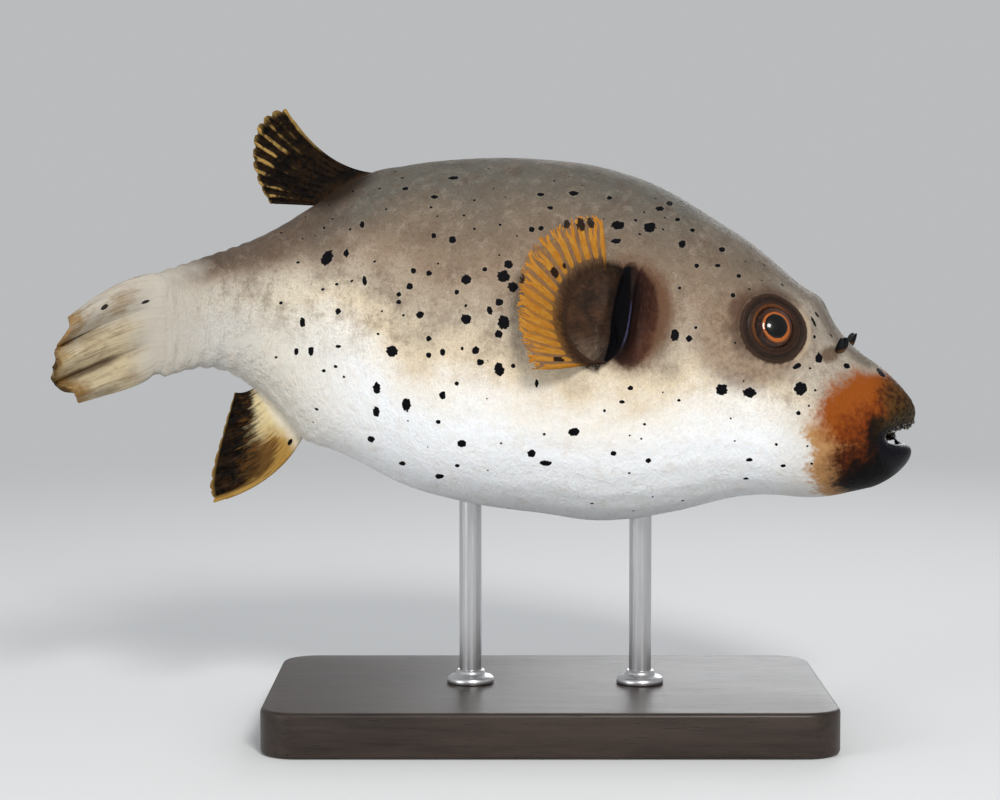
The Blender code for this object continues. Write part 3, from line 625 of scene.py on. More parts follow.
def body_part(angles):
    """(station, side, height) rings of the plain body, from the tail's end to the muzzle."""
    stations = [STEM_END]
    for start, end, spacing in reversed(ROW_SPANS):
        count = round((end - start) / spacing)
        stations += list(end - (end - start) * (np.arange(count) + 1) / count)
    stations = np.array(stations)[:, None]
    side, height = section(stations, angles[None, :])
    body = np.stack([np.broadcast_to(stations, side.shape), side, height], axis=-1)
    thinner = 1 - TAIL_TAPER * ease(body[..., 0], 182.0, STEM_END) ** 1.5
    body[..., 1] *= thinner
    tip = []
    end = body[0]
    middle = end[:, 2].mean()
    for back in np.linspace(STEM_TIP_LENGTH, STEM_TIP_FIRST, STEM_TIP_ROWS):
        ring = end.copy()
        ring[:, 0] += back
        ring[:, 1] *= 1 - STEM_TIP_NARROWING * back
        ring[:, 2] = middle + (ring[:, 2] - middle) * (1 - STEM_TIP_LOWERING * back)
        tip.append(ring)
    return np.concatenate([np.array(tip), body])


def lip_part(angles):
    """Rings over the lips and into the mouth, with a level from 0 at the muzzle to 3 inside."""
    c, s = np.cos(angles), np.sin(angles)
    step = 0.2
    side, height = section(MUZZLE_STATION, angles)
    side_behind, height_behind = section(MUZZLE_STATION + step, angles)
    start = np.stack([np.full(len(angles), MUZZLE_STATION), side, height], axis=-1)
    forward = np.stack([np.full(len(angles), -1.0), (side - side_behind) / step,
                        (height - height_behind) / step], axis=-1)

    def around_lips(upper, lower, at_side):
        return at_side * c ** 2 + ((upper + lower) / 2 + (upper - lower) / 2 * s) * s ** 2

    lip_height = (LIP_HEIGHT_UPPER + LIP_HEIGHT_LOWER) / 2
    lip_height = lip_height + (LIP_HEIGHT_UPPER - LIP_HEIGHT_LOWER) / 2 * s
    crest = np.stack([around_lips(LIP_CREST_UPPER, LIP_CREST_LOWER, LIP_CREST_SIDE),
                      LIP_HALF_WIDTH * c, GAPE_LEVEL + lip_height * s], axis=-1)
    inward = np.stack([np.zeros(len(angles)), -c, -s], axis=-1)
    slot = (np.abs(c) ** 3 + np.abs(s) ** 3) ** (-1 / 3)
    edge = np.stack([around_lips(LIP_EDGE_UPPER, LIP_EDGE_LOWER, LIP_EDGE_SIDE),
                     GAPE_HALF_WIDTH * slot * c, GAPE_LEVEL + GAPE_HALF_HEIGHT * slot * s],
                    axis=-1)
    leave = (MUZZLE_PULL[0] + MUZZLE_PULL[1] * s ** 2)[:, None]
    arrive = (LIP_PULL[0] + LIP_PULL[1] * s ** 2)[:, None]
    rings, levels = [], []
    for t in (np.arange(LIP_ROWS) + 1) / LIP_ROWS:
        rings.append((2 * t ** 3 - 3 * t ** 2 + 1) * start + (t ** 3 - 2 * t ** 2 + t) * leave
                     * forward + (3 * t ** 2 - 2 * t ** 3) * crest
                     + (t ** 3 - t ** 2) * arrive * inward)
        levels.append(t)
    behind = np.concatenate([edge[:, :1], crest[:, 1:]], axis=1)
    for t in (np.arange(LIP_TURN_ROWS) + 1) / LIP_TURN_ROWS:
        turn = t * math.pi / 2
        rings.append(behind + (crest - behind) * math.cos(turn) + (edge - behind) * math.sin(turn))
        levels.append(1 + t)
    breadth_at = Spline([(back, breadth) for back, breadth, _ in CAVITY])
    tall_at = Spline([(back, tall) for back, _, tall in CAVITY])
    for t in (np.arange(CAVITY_ROWS) + 1) / CAVITY_ROWS:
        back = t * CAVITY[-1][0]
        station = edge[:, 0] + back
        station = station + (LIP_EDGE_SIDE - edge[:, 0]) * min(back / CAVITY_DEPTH, 1)
        rings.append(np.stack([station, GAPE_HALF_WIDTH * breadth_at(back) * slot * c,
                               GAPE_LEVEL + tall_at(back) * slot * s], axis=-1))
        levels.append(2 + t)
    return np.array(rings), np.array(levels)


def lid_profile(ring):
    """Rise of the eyelid's folds at a distance from the eye's axis."""
    rim = 0.42 * bell((ring - 5.95) / 0.85)
    creases = 0.06 * np.cos((ring - 6.1) * 2 * math.pi / 0.95) * ease(ring, 6.0, 6.6)
    creases *= ease(-ring, -9.5, -8.6)
    border = 0.30 * bell((ring - 8.75) / 0.7) - 0.34 * bell((ring - 9.75) / 0.6)
    return rim + creases + border


def seat_eyes(points):
    """Moves the skin round each eye: under the eyeball's cap, and into folds about it."""
    ring = np.full(points.shape[:2], 99.0)
    for sign in (-1, 1):
        middle, _, out = eye_seat(sign)
        off = points - middle
        level = off @ out
        away = np.linalg.norm(off - level[..., None] * out, axis=-1)
        near = (level > 0) & (away < LID_SKIN_REACH)
        wobble = 0.25 * soft_noise(points, 5.0, 3)
        rise = np.where(near, lid_profile(away + wobble), 0.0)
        ball = np.sqrt(np.maximum(EYE_RADIUS ** 2 - np.minimum(away, EYE_RADIUS) ** 2, 0))
        under = ball - 0.25 - 1.3 * ease(-away, -5.5, -4.2)
        rise = np.where(near & (away < CAP_TUCK), np.minimum(rise, under - level), rise)
        points = points + rise[..., None] * out
        ring = np.where(near, np.minimum(ring, away), ring)
    return points, ring


def skin_relief(station, angle, height, dorsal, points, level):
    """Rise of the skin's fine form: gill, wrinkles, striations, lip ribs and fin roots."""
    body = ease(level, 0.02, -0.01)
    slit = station - slit_station(np.clip(height, 99.5, 124.5))
    flank = np.abs(np.cos(angle)) ** 0.5
    along = np.maximum(1 - ((height - 113.0) / 14.0) ** 2, 0) * flank
    rise = -2.7 * ridge(slit + 0.2, 1.5) * along + 0.45 * ridge(slit + 2.9, 0.7) * along
    inside = ridge(slit + 5.6, 2.4) * along
    rise += inside * (-0.9 + 0.30 * np.cos(2 * math.pi * slit / 1.7))
    rim = np.hypot((station - 73.6) / 0.72, height - 113.6)
    rise += 0.55 * ridge(rim - 13.6, 1.5) * ease(-station, -76.0, -72.0) * flank
    turn = np.degrees(np.arctan2(height - LOBE_HEIGHT, LOBE_STATION - station)) % 360
    from_lobe = np.hypot(station - LOBE_STATION, height - LOBE_HEIGHT)
    behind = ease(turn, 62.0, 88.0) * ease(-turn, -268.0, -246.0)
    uneven = from_lobe + 0.7 * soft_noise(points, 2.2, 17)
    pad = ease(-uneven, -15.0, -10.6) * (PAD_RISE - 0.9 * bell(from_lobe / 11.0))
    fan = np.arctan2(height - LOBE_HEIGHT, station - LOBE_STATION + FAN_SHIFT)
    fibres = 0.09 * np.cos(fan * 50 + 2.5 * soft_noise(points, 4.0, 15))
    rise += (pad + fibres * ease(-from_lobe, -14.0, -11.0)) * behind * flank
    folds = np.cos(2 * math.pi * (station + 1.2 * soft_noise(points, 9.0, 5)) / 3.4)
    patchy = 0.5 + 0.5 * soft_noise(points, 7.0, 16)
    rise += 0.30 * folds * ease(station, 156.0, 182.0) * patchy
    diagonal = station * 0.8 + height * 0.6 + 1.3 * soft_noise(points, 8.0, 6)
    crease = np.cos(2 * math.pi * diagonal / 3.1)
    rise += 0.20 * crease * bell((station - 166.0) / 14.0) * ease(-dorsal, -0.42, -0.12)
    strands = np.cos(np.degrees(angle) * 0.55 + 2.0 * soft_noise(points, 14.0, 7))
    rise += 0.07 * strands * ease(-dorsal, -0.42, -0.15) * ease(-station, -125.0, -95.0) \
        * ease(station, 26.0, 46.0)
    rise += body * (0.16 * soft_noise(points, 10.0, 1) + 0.06 * soft_noise(points, 3.2, 2))
    for base, side in ((DORSAL_BASE, 1), (ANAL_BASE, -1)):
        reach = np.maximum(np.maximum(base[0] - station, station - base[1]), 0)
        line = back_height(station) if base is DORSAL_BASE else keel_height(station)
        gap = np.abs(height - line)
        rise += 0.8 * ease(side * np.sin(angle), 0.80, 1.0) * bell(reach / 8.0) \
            * bell(np.minimum(gap * 0.22, 1))
    lips = ease(level, 0.35, 0.7) * ease(-level, -2.2, -1.7)
    ribs = np.cos(angle * 46 + 1.5 * soft_noise(points, 2.5, 8))
    upper = ease(np.sin(angle), -0.3, 0.4)
    rise += lips * (0.07 * ribs * upper + 0.10 * upper * soft_noise(points, 0.9, 9))
    return rise


def placed_spots(points, side):
    """Dark blotches of the right flank, each a centre and two directions scaled to its size."""
    right = points[side < -0.5]
    spots = []
    for forward, height, breadth, tall, lean in BLOTCHES:
        away = (right[:, 0] - forward) ** 2 + (right[:, 2] - height) ** 2
        turn = math.radians(lean)
        first = np.array([math.cos(turn), 0.0, math.sin(turn)]) * 2 / breadth
        second = np.array([-math.sin(turn), 0.0, math.cos(turn)]) * 2 / tall
        spots.append((right[int(np.argmin(away))], first, second))
    return spots


def scattered_spots(taken):
    """Seeded spots: small ones between the right flank's blotches, all sizes on the left."""
    rng = np.random.default_rng(MARKING_SEED)
    centres, spots = [spot[0] for spot in taken], []
    for count, sign in ((SMALL_SPOTS_RIGHT, -1), (SPOTS_LEFT, 1)):
        made = 0
        for _ in range(count * 30):
            station, turn = rng.uniform(20, 176), math.radians(min(rng.normal(32, 40), 88))
            if sign < 0:
                radius = rng.uniform(0.22, 0.45)
            else:
                radius = min(0.36 * math.exp(abs(rng.normal(0.25, 0.72))), 1.9)
            stretch, twist = rng.uniform(0.75, 1.35), rng.uniform(0, math.pi)
            across, level = section(station, turn if sign > 0 else math.pi - turn)
            from_eye = math.hypot(station - EYE_STATION, level - EYE_HEIGHT)
            from_lobe = math.hypot(station - BARE_STATION, level - BARE_HEIGHT)
            if made == count or from_eye < 10.5 or from_lobe < 16:
                continue
            centre = place(station, across, level)
            if min(np.linalg.norm(centre - c) for c in centres) < 2.4 + 1.8 * radius:
                continue
            step = place(station + 0.5, across, level) - place(station - 0.5, across, level)
            beside = place(station, *section(station, (turn if sign > 0 else math.pi - turn)
                                             + 0.01)) - centre
            beside /= np.linalg.norm(beside)
            first = (step * math.cos(twist) + beside * math.sin(twist)) / (radius * stretch)
            second = (beside * math.cos(twist) - step * math.sin(twist)) / radius
            centres.append(centre)
            spots.append((centre, first, second))
            made += 1
    return spots


def spot_layers(points, spots):
    """Place of every skin point in its nearest spot, where 1 is that spot's edge.

    Such places change evenly over the skin, so even a spot smaller than a face stays sharp.
    Spots that lie close together are kept in different layers.
    """
    layers = np.full((SPOT_LAYERS,) + points.shape, 9.0)
    nearest = np.full((SPOT_LAYERS,) + points.shape[:2], 99.0)
    held = [[] for _ in range(SPOT_LAYERS)]
    for centre, first, second in spots:
        sizes = sorted((1 / np.linalg.norm(first), 1 / np.linalg.norm(second)))
        rooms = [min([np.linalg.norm(centre - c) - sizes[1] - r for c, r in layer] or [99.0])
                 for layer in held]
        roomy = [i for i, room in enumerate(rooms) if room > 2.7 * SPOT_MARGIN]
        k = roomy[0] if roomy else int(np.argmax(rooms))
        held[k].append((centre, sizes[1]))
        off = points - centre
        near = np.nonzero(np.abs(off).max(axis=-1) < sizes[1] + 2.5 * SPOT_MARGIN)
        u, v = off[near] @ first, off[near] @ second
        beyond = np.linalg.norm(off[near], axis=-1) * (1 - 1 / (np.hypot(u, v) + 1e-9))
        lift = 9 * ease(beyond, SPOT_MARGIN, 1.7 * SPOT_MARGIN)
        closer = beyond < nearest[k][near]
        row, column = near[0][closer], near[1][closer]
        layers[k][row, column] = np.stack([u, v, lift], axis=-1)[closer]
        nearest[k][row, column] = beyond[closer]
    return layers


def skin_rings():
    """World points of the skin's rings and the named values that its finish reads."""
    angles = skin_angles()
    body = body_part(angles)
    lips, lip_levels = lip_part(angles)
    local = np.concatenate([body, lips])
    level = np.concatenate([np.zeros(len(body)), lip_levels])[:, None]
    level = np.broadcast_to(level, local.shape[:2])
    station, side, height = np.moveaxis(local, -1, 0)
    angle = np.broadcast_to(angles[None, :], station.shape)
    points = place(station, side, height)
    held = np.clip(station, MUZZLE_STATION, STEM_END)
    back, keel = back_height(held), keel_height(held)
    dorsal = (height - keel) / (back - keel)
    along = np.gradient(points, axis=0)
    around = np.roll(points, -1, axis=1) - np.roll(points, 1, axis=1)
    normal = unit(np.cross(along, around))
    belly_row = len(body) // 2
    outside = points[belly_row] - points[belly_row].mean(0)
    if (normal[belly_row] * outside).sum() < 0:
        normal = -normal
    rise = skin_relief(station, angle, height, dorsal, points, level)
    fade = ease(np.arange(len(local)), 0, 9)[:, None]
    placed = placed_spots(points, side)
    layers = spot_layers(points, placed + scattered_spots(placed))
    points = points + normal * (rise * fade)[..., None]
    points, ring = seat_eyes(points)
    slit = station - slit_station(np.clip(height, 99.5, 124.5))
    values = {"station": station, "dorsal": dorsal, "height": height, "below_back": back - height,
              "lip": level, "ring": ring, "slit": slit}
    values = {key: value.ravel() for key, value in values.items()}
    values.update({f"spots_{k}": layer.reshape(-1, 3) for k, layer in enumerate(layers)})
    return points, values


class SkinPaint:
    """The skin's colour in layers, and the point values, noises and masks that they share."""

    def __init__(self, t):
        self.tree, self.color = t, None
        for key in ("station", "height", "dorsal", "lip", "ring", "slit"):
            setattr(self, key, t.value(key))
        self.below = t.value("below_back")
        self.broad, self.cloud = t.noise(26, 2), t.noise(7.5, 4, 0.6)
        self.grain, self.pepper, self.jag = t.noise(1.3, 4, 0.6), t.noise(0.45, 2), t.cells(0.75)
        self.clouds, self.grains, self.peppers = self.cloud - 0.5, self.grain - 0.5, self.pepper - 0.5

    def over(self, mask, color, blend="MIX"):
        """Paints a colour over what is there, where the mask is 1."""
        self.color = self.tree.mix(mask, self.color, color, blend)


def paint_flank(t, paint, look):
    """White belly, golden line, brown flank and grey back, with their mottling and a dark cheek; the
    back's darkness is partly painted shade.
    """
    station, height, dorsal, cloud, clouds, grain, grains = \
        paint.station, paint.height, paint.dorsal, paint.cloud, paint.clouds, paint.grain, paint.grains
    tone = dorsal + (paint.broad - 0.5) * 0.26 + clouds * 0.14 + grains * 0.07
    tone = tone - station.step(72, 34) * 0.085 \
        - station.step(122, 168) * dorsal.step(0.92, 0.70) * 0.20
    # The ramp darkens towards the ridge of the back: partly the back's own darker colour, partly
    # painted shade where the top gets less light.
    paint.color = t.ramp(tone, (0.20, tuple(look.belly_color)), (0.34, (0.80, 0.76, 0.69)),
                         (0.42, (0.68, 0.575, 0.42)), (0.52, tuple(look.flank_color)),
                         (0.64, (0.275, 0.205, 0.145)), (0.80, (0.190, 0.145, 0.105)),
                         (0.97, tuple(look.back_color)))
    rear = station.step(140, 176) * dorsal.step(0.90, 0.66)
    paint.over(rear * 0.8, t.mix(station.step(168, 190), (0.60, 0.55, 0.45),
                                 (0.43, 0.405, 0.36)))
    # Darker brown over the back's rear slope: partly the skin's own colour, partly painted shade where
    # the back turns away from the light.
    dark_saddle_and_painted_shade = station.step(146, 164) * (dorsal + clouds * 0.25).step(0.74, 0.94)
    paint.over(dark_saddle_and_painted_shade * 0.6, (0.105, 0.064, 0.044))
    snout = station.step(40, 24) * (paint.below + grains * 2).step(0.5, 3.0)
    paint.over(snout * 0.55, (0.54, 0.495, 0.42))
    mottle = (cloud + grains * 0.6).step(0.44, 0.74) * dorsal.step(0.26, 0.55)
    paint.over(mottle * 0.34, (0.150, 0.098, 0.066))
    freckles = (t.noise(3.0, 5, 0.7) + clouds * 0.5).step(0.50, 0.70) * dorsal.step(0.30, 0.60)
    paint.over(freckles * 0.38, (0.125, 0.080, 0.054))
    dust = t.noise(1.0, 4, 0.7).step(0.49, 0.66) * dorsal.step(0.22, 0.55)
    paint.over(dust * 0.24, (0.140, 0.095, 0.066))
    pale = (t.noise(3.4, 4, 0.65) + paint.peppers * 0.2).step(0.48, 0.74)
    paint.over(pale * 0.30 * (1.35 - dorsal), (0.62, 0.54, 0.45))
    blotch = (t.noise(5.0, 4, 0.65) + grains * 0.3).step(0.48, 0.68) * dorsal.step(0.72, 0.98)
    paint.over(blotch * 0.34, (0.064, 0.050, 0.038))
    paint.over(dorsal.step(0.18, 0.50) * 0.45 + 0.15,
               t.ramp(paint.pepper * 0.6 + grain * 0.4, (0.36, (0.62, 0.60, 0.58)),
                      (0.56, (1.0, 1.0, 1.0))), "MULTIPLY")
    cheek = (t.oval((station, EYE_STATION + 6, 17.5), (height, EYE_HEIGHT - 3.5, 15.0))
             + clouds * 0.5).step(1.05, 0.60)
    paint.over(cheek * 0.82, t.mix((grain + clouds).step(0.35, 0.7),
                                   (0.145, 0.090, 0.058), (0.285, 0.205, 0.142)))


def paint_muzzle(t, paint, look):
    """Orange above, burnt brown below and black round the chin and lips, with a yellow rim."""
    station, height, lip, clouds, grain, grains = \
        paint.station, paint.height, paint.lip, paint.clouds, paint.grain, paint.grains
    face = t.oval((station, 10.0, 12.8), (height, 87.5, 11.6))
    jaw = t.oval((station, 7.0, 13.8), (height, 72.0, 12.0))
    muzzle = t.least(face, jaw) + clouds * 0.55 + grains * 0.50
    under = (paint.below + grains * 2.5).step(1.2, 4.5)
    rim = muzzle.step(1.46, 1.20) * height.step(88, 82)
    paint.over(rim * 0.9, (0.36, 0.165, 0.034))
    dusk = (station - 6.0) * 0.036 + (height - 73.0) * 0.040 + clouds * 0.60 + grains * 0.75
    burnt = t.ramp(dusk, (0.16, (0.0035, 0.0028, 0.0028)), (0.34, (0.014, 0.005, 0.003)),
                   (0.52, (0.062, 0.014, 0.003)), (0.72, tuple(look.cheek_color)),
                   (0.98, (0.245, 0.060, 0.007)))
    paint.over(muzzle.step(1.24, 0.74) * under, burnt)
    corner = t.oval((station, 8.0, 2.7), (height, 82.6, 4.4)) + clouds * 0.25 + grains * 0.5
    paint.over(corner.step(1.25, 0.70) * 0.95, (0.0055, 0.0040, 0.0030))
    front = (station + clouds * 5 + grains * 3).step(10.5, 4.5) * (height + clouds * 8).step(78, 84)
    paint.over(front * 0.85,
               t.mix(grain.step(0.35, 0.65), (0.014, 0.008, 0.004), (0.080, 0.042, 0.012)))
    lips = (lip + grains * 0.45 + height.step(88, 79) * 0.30).step(0.68, 0.98)
    lip_color = t.mix((height + grains * 3).step(81.0, 85.5), (0.0022, 0.0022, 0.0045),
                      t.ramp(t.noise(0.8, 3, 0.6), (0.38, (0.006, 0.0045, 0.003)),
                             (0.64, (0.060, 0.038, 0.014))))
    paint.over(lips, lip_color)
    # Inside of the mouth painted near-black: partly the lips' own black, partly painted shade of the
    # mouth's inside.
    inside = lip.step(1.15, 1.55)
    paint.over(inside, (0.0015, 0.0012, 0.0015))
    nostril = t.oval((station, NOSTRIL_STATION + 2.0, 3.4), (height, NOSTRIL_HEIGHT - 0.6, 2.8))
    paint.over((nostril + grains * 0.6).step(1.0, 0.4) * 0.8, (0.085, 0.042, 0.018))
    paint.lips, paint.inside = lips, inside


def paint_gill(t, paint):
    """The folded hollow of the gill, the fibrous pad behind it and the opening between them, with
    painted shade darkening the hollow and the opening.
    """
    station, height, slit, clouds, grain, grains = \
        paint.station, paint.height, paint.slit, paint.clouds, paint.grain, paint.grains
    around = t.oval((station, 74.5, 13.4), (height, 113.2, 15.2)) + clouds * 0.35 + grains * 0.25
    paint.over(around.step(1.14, 0.72) * 0.92, (0.108, 0.050, 0.026))
    hollow = t.oval((station, 74.8, 8.8), (height, 113.0, 13.7)) + clouds * 0.16 + grains * 0.16
    hollow = hollow.step(1.05, 0.88) * slit.step(1.0, -1.0)
    # The hollow darkens to near-black towards the slit: partly its own maroon skin, partly painted
    # shade of the recess.
    away = slit * -0.080 + clouds * 0.7 + grains * 0.5
    paint.over(hollow * 0.96, t.ramp(away, (0.12, (0.006, 0.003, 0.003)),
                                     (0.46, (0.026, 0.009, 0.006)),
                                     (0.76, (0.062, 0.024, 0.014)),
                                     (1.00, (0.120, 0.055, 0.028))))
    # Painted shade deep in the hollow, banded along its folds.
    folds = (slit + clouds * 1.2).waves(1.9) * 0.5 + 0.5
    deep_painted_shade = slit.step(-8.0, -3.0) * hollow * t.oval((slit, -3.5, 4.6), (height, 113, 13)).step(1, 0.5)
    paint.over(deep_painted_shade * (folds * 0.40 + 0.60), (0.0050, 0.0028, 0.0030))
    from_lobe = t.oval((station, LOBE_STATION, 1.0), (height, LOBE_HEIGHT, 1.0))
    pad = (from_lobe + clouds * 3.0 + grains * 2.0).step(15.2, 12.8) * slit.step(-0.2, 1.4) \
        * (height + clouds * 4).step(95.5, 99.5)
    spread = t.sum("ARCTAN2", height - LOBE_HEIGHT, station - LOBE_STATION + FAN_SHIFT)
    fan = t.add("ShaderNodeCombineXYZ", {}, {"X": spread * 24, "Y": station * 0.22, "Z": paint.broad})
    fibres = t.noise_at(fan, detail=4.0)
    weave = fibres * 0.45 + clouds * 1.3 + grain * 0.45
    pad_color = t.mix((height + clouds * 14).step(110.5, 101.0),
                      t.mix(weave.step(0.2, 0.8), (0.016, 0.009, 0.006),
                            (0.066, 0.031, 0.016)),
                      t.mix(weave.step(0.2, 0.7), (0.060, 0.038, 0.025),
                            (0.200, 0.145, 0.105)))
    pad_color = t.mix(slit.step(7.0, 1.0) * 0.75, pad_color, (0.005, 0.0035, 0.003))
    paint.over(pad, pad_color)
    flecks = t.noise(2.2, 3, 0.7, stretch=(1.3, 1.3, 0.5)).step(0.60, 0.68) * pad \
        * slit.step(8.0, 3.0) * (height + grains).step(113.5, 108)
    paint.over(flecks * 0.45, (0.40, 0.34, 0.27))
    mouth = t.oval((slit, -0.2, 2.6), (height, 113.0, 13.6)) + grains * 0.10
    edge = mouth.step(0.92, 0.98) * mouth.step(1.12, 1.04) * slit.step(-0.8, -1.8) \
        * height.step(118, 113) * height.step(104, 108)
    paint.over(edge * 0.7, t.mix(grain, (0.020, 0.019, 0.055), (0.085, 0.082, 0.17)))
    # The gill opening is painted shade, almost black, over a groove in the skin.
    crescent = mouth.step(1.02, 0.86)
    paint.over(crescent, (0.0014, 0.0012, 0.0018))
    paint.hollow, paint.pad, paint.fibres, paint.crescent = hollow, pad, fibres, crescent


def paint_roots(t, paint):
    """The dorsal fin's dark brown at its root, and the tail's beige at the stem's end."""
    station, clouds = paint.station, paint.clouds
    root = t.oval((station, 151.5, 10.5), (paint.below, 0.0, 4.2)) + clouds * 0.6
    paint.over(root.step(1.1, 0.4) * 0.92, (0.022, 0.014, 0.009))
    paint.over((station + clouds * 12).step(186, 197) * 0.85, TAIL_ROOT_COLOR)


def paint_eyelids(t, paint):
    """Dark rings of the eyelid, tan behind the eye, and the shade about them."""
    station, height, ring, clouds, grains = \
        paint.station, paint.height, paint.ring, paint.clouds, paint.grains
    ring_noise = ring + grains * 0.55 + clouds * 0.9
    lid = ring_noise.step(9.75, 9.20)
    fine_rings = (ring + clouds * 1.8 + grains * 0.5).waves(0.85) * 0.5 + 0.5
    bands = t.ramp(ring / 10, (0.58, (0.014, 0.006, 0.0035)), (0.68, (0.026, 0.013, 0.009)),
                   (0.78, (0.007, 0.004, 0.0032)), (0.93, (0.042, 0.023, 0.015)))
    lid_color = t.mix(fine_rings * 0.15 + grains * 0.30, bands, (0.070, 0.038, 0.024))
    upper_rear = (station - EYE_STATION + (height - EYE_HEIGHT) * 0.8).step(-4.0, 4.5)
    tan = (ring + grains * 0.5).step(6.6, 5.9) * (0.05 + upper_rear * 0.75)
    lid_color = t.mix(tan, lid_color, (0.120, 0.040, 0.012))
    paint.over(lid * 0.98, lid_color)
    front_rim = ring_noise.step(9.3, 9.9) * ring.step(11.2, 9.9) \
        * (EYE_STATION - station).step(3, 8)
    paint.over(front_rim * 0.35, (0.56, 0.43, 0.27))
    shadow = (ring + clouds * 5.0).step(13.5, 9.4) * upper_rear
    paint.over(shadow * 0.70 * (1 - lid), (0.062, 0.034, 0.022))
    lobe = t.oval((station, 43.6, 4.2), (height, 114.6, 3.4)) + clouds * 0.5
    paint.over(lobe.step(1.2, 0.5) * 0.75 * (1 - lid), (0.085, 0.046, 0.030))
    paint.lid, paint.fine_rings = lid, fine_rings


def paint_spots(t, paint):
    """Black spots with a jagged edge and a faint pale halo."""
    lid, grains = paint.lid, paint.grains
    bare = (lid + paint.lips + paint.hollow + paint.pad + paint.crescent).step(0.15, 0.6)
    nearest = t.least(*[t.own_length(f"spots_{k}") for k in range(SPOT_LAYERS)])
    ragged = nearest + grains * 0.50 + (paint.jag - 0.42) * 0.40
    halo = ragged.step(1.75, 1.10) * (1 - bare)
    paint.over(halo * 0.035, (0.80, 0.73, 0.63))
    ink = ragged.step(1.05, 0.95) * (1 - lid) * (1 - paint.inside)
    paint.over(ink, (0.0022, 0.0022, 0.0035))


def skin_material(look):
    constants = {"Subsurface Weight": 0.08, "Subsurface Radius": (1.0, 0.5, 0.3),
                 "Subsurface Scale": 0.0012, "Specular IOR Level": 0.05, "Coat Roughness": 0.25}
    material, t, shader = new_material("spotted_skin", constants)
    paint = SkinPaint(t)
    paint_flank(t, paint, look)
    paint_muzzle(t, paint, look)
    paint_gill(t, paint)
    paint_roots(t, paint)
    paint_eyelids(t, paint)
    paint_spots(t, paint)
    lid, pad, crescent = paint.lid, paint.pad, paint.crescent
    wet = (paint.lips + paint.inside).step(0, 1)
    roughness = 0.52 + paint.grains * 0.22 - wet * 0.16 + crescent * 0.25
    coat = (0.010 + wet * 0.12 + lid * 0.02) * (1 - crescent)
    wrinkles = t.noise(0.8, 3, 0.6, stretch=(1.0, 1.0, 0.55))
    ripples = t.noise(2.6, 3, 0.6, stretch=(1.0, 1.0, 0.5)) * (1 - lid) * (1 - wet)
    stem_lines = t.noise(1.6, 3, 0.6, stretch=(1.0, 1.0, 0.25)) * paint.station.step(150, 176)
    join_surface(t, shader, paint.color, roughness, coat,
                 bumps=((ripples, 0.34 * look.texture), (wrinkles, 0.28 * look.texture),
                        (t.noise(0.26, 2), 0.08 * look.texture),
                        (stem_lines, 0.90 * look.texture), (paint.fine_rings * lid, 0.04),
                        (paint.fibres * pad, 0.12)))
    return material


def make_skin(look):
    points, values = skin_rings()
    flat, faces, corners = tube(points)
    count = points.shape[1]
    for key, value in values.items():
        tips = [value[:count].mean(axis=0), value[-count:].mean(axis=0)]
        values[key] = np.concatenate([value, tips])
    piece = make_piece("puffer_skin", flat, faces, values, corners, skin_material(look))
    return settle(piece, "skin", "head", "trunk", "tail_stem")


# ---- eyes
def eye_material(look):
    constants = {"Coat Roughness": 0.03, "Roughness": 0.35, "Coat Weight": 0.6, "Coat IOR": 1.4,
                 "Specular IOR Level": 0.08}
    material, t, shader = new_material("eye", constants)
    ring, low = t.value("ring"), t.value("low")
    streak, fine = t.noise(1.1, 3, 0.6), t.noise(0.35, 2)
    bent = ring + (streak - 0.5) * 0.45
    front = t.value("front")
    color = t.ramp((streak - 0.5) * 1.5 + front * 0.5 + 0.35, (0.3, (0.012, 0.005, 0.003)),
                   (0.75, (0.062, 0.020, 0.008)))
    glow = (bent - low * 0.45).step(4.0, 3.55)
    color = t.mix(glow, color, t.mix(fine, tuple(look.iris_color), (0.38, 0.105, 0.016)))
    color = t.mix(bent.step(4.85, 5.2) * 0.9, color, (0.008, 0.005, 0.005))
    color = t.mix((bent + (fine - 0.5) * 0.25).step(3.28, 3.16), color,
                  (0.0012, 0.0014, 0.0012))
    join_surface(t, shader, color, bumps=((streak * bent.step(3.3, 3.6), 0.06),))
    return material


def make_eyes(look):
    material = eye_material(look)
    for name, sign in (("right", -1), ("left", 1)):
        middle, forward, out = eye_seat(sign)
        upward = np.cross(forward, out)
        upward *= math.copysign(1.0, upward[2])
        polar = np.radians(np.concatenate([np.linspace(2, 48, 40), np.linspace(53, 176, 26)]))
        turn = np.arange(96) / 96 * 2 * math.pi
        polar_grid, turn_grid = np.meshgrid(polar, turn, indexing="ij")
        radius = EYE_RADIUS - 0.10 * bell((EYE_RADIUS * np.sin(polar_grid) - 3.3) / 0.5) \
            * (polar_grid < 1)
        across = radius * np.sin(polar_grid)
        points = middle + out * (radius * np.cos(polar_grid))[..., None] \
            + forward * (across * np.cos(turn_grid))[..., None] \
            + upward * (across * np.sin(turn_grid))[..., None]
        ring = np.where(polar_grid < math.pi / 2, across, EYE_RADIUS)
        low = ease(-np.sin(turn_grid) + 0.4 * np.cos(turn_grid), 0.1, 1.2)
        front = 0.5 + 0.5 * np.cos(turn_grid)
        flat, faces, corners = tube(points)
        values = {"ring": np.append(ring.ravel(), [0.0, EYE_RADIUS]),
                  "low": np.append(low.ravel(), [0.0, 0.0]),
                  "front": np.append(front.ravel(), [0.5, 0.5])}
        piece = make_piece("eyeball_" + name, flat, faces, values, corners, material)
        settle(piece, "eye", "eye_" + name)


# ---- nostrils
def nostril_material():
    material, t, shader = new_material("nostril_flap", {"Specular IOR Level": 0.08})
    foot, grain = t.value("foot"), t.noise(0.8, 3)
    color = t.ramp(foot + (grain - 0.5) * 0.6, (0.50, (0.0025, 0.0022, 0.0030)),
                   (0.98, (0.095, 0.046, 0.017)))
    join_surface(t, shader, color, 0.42 + (grain - 0.5) * 0.3, bumps=((t.noise(0.4, 2), 0.08),))
    return material


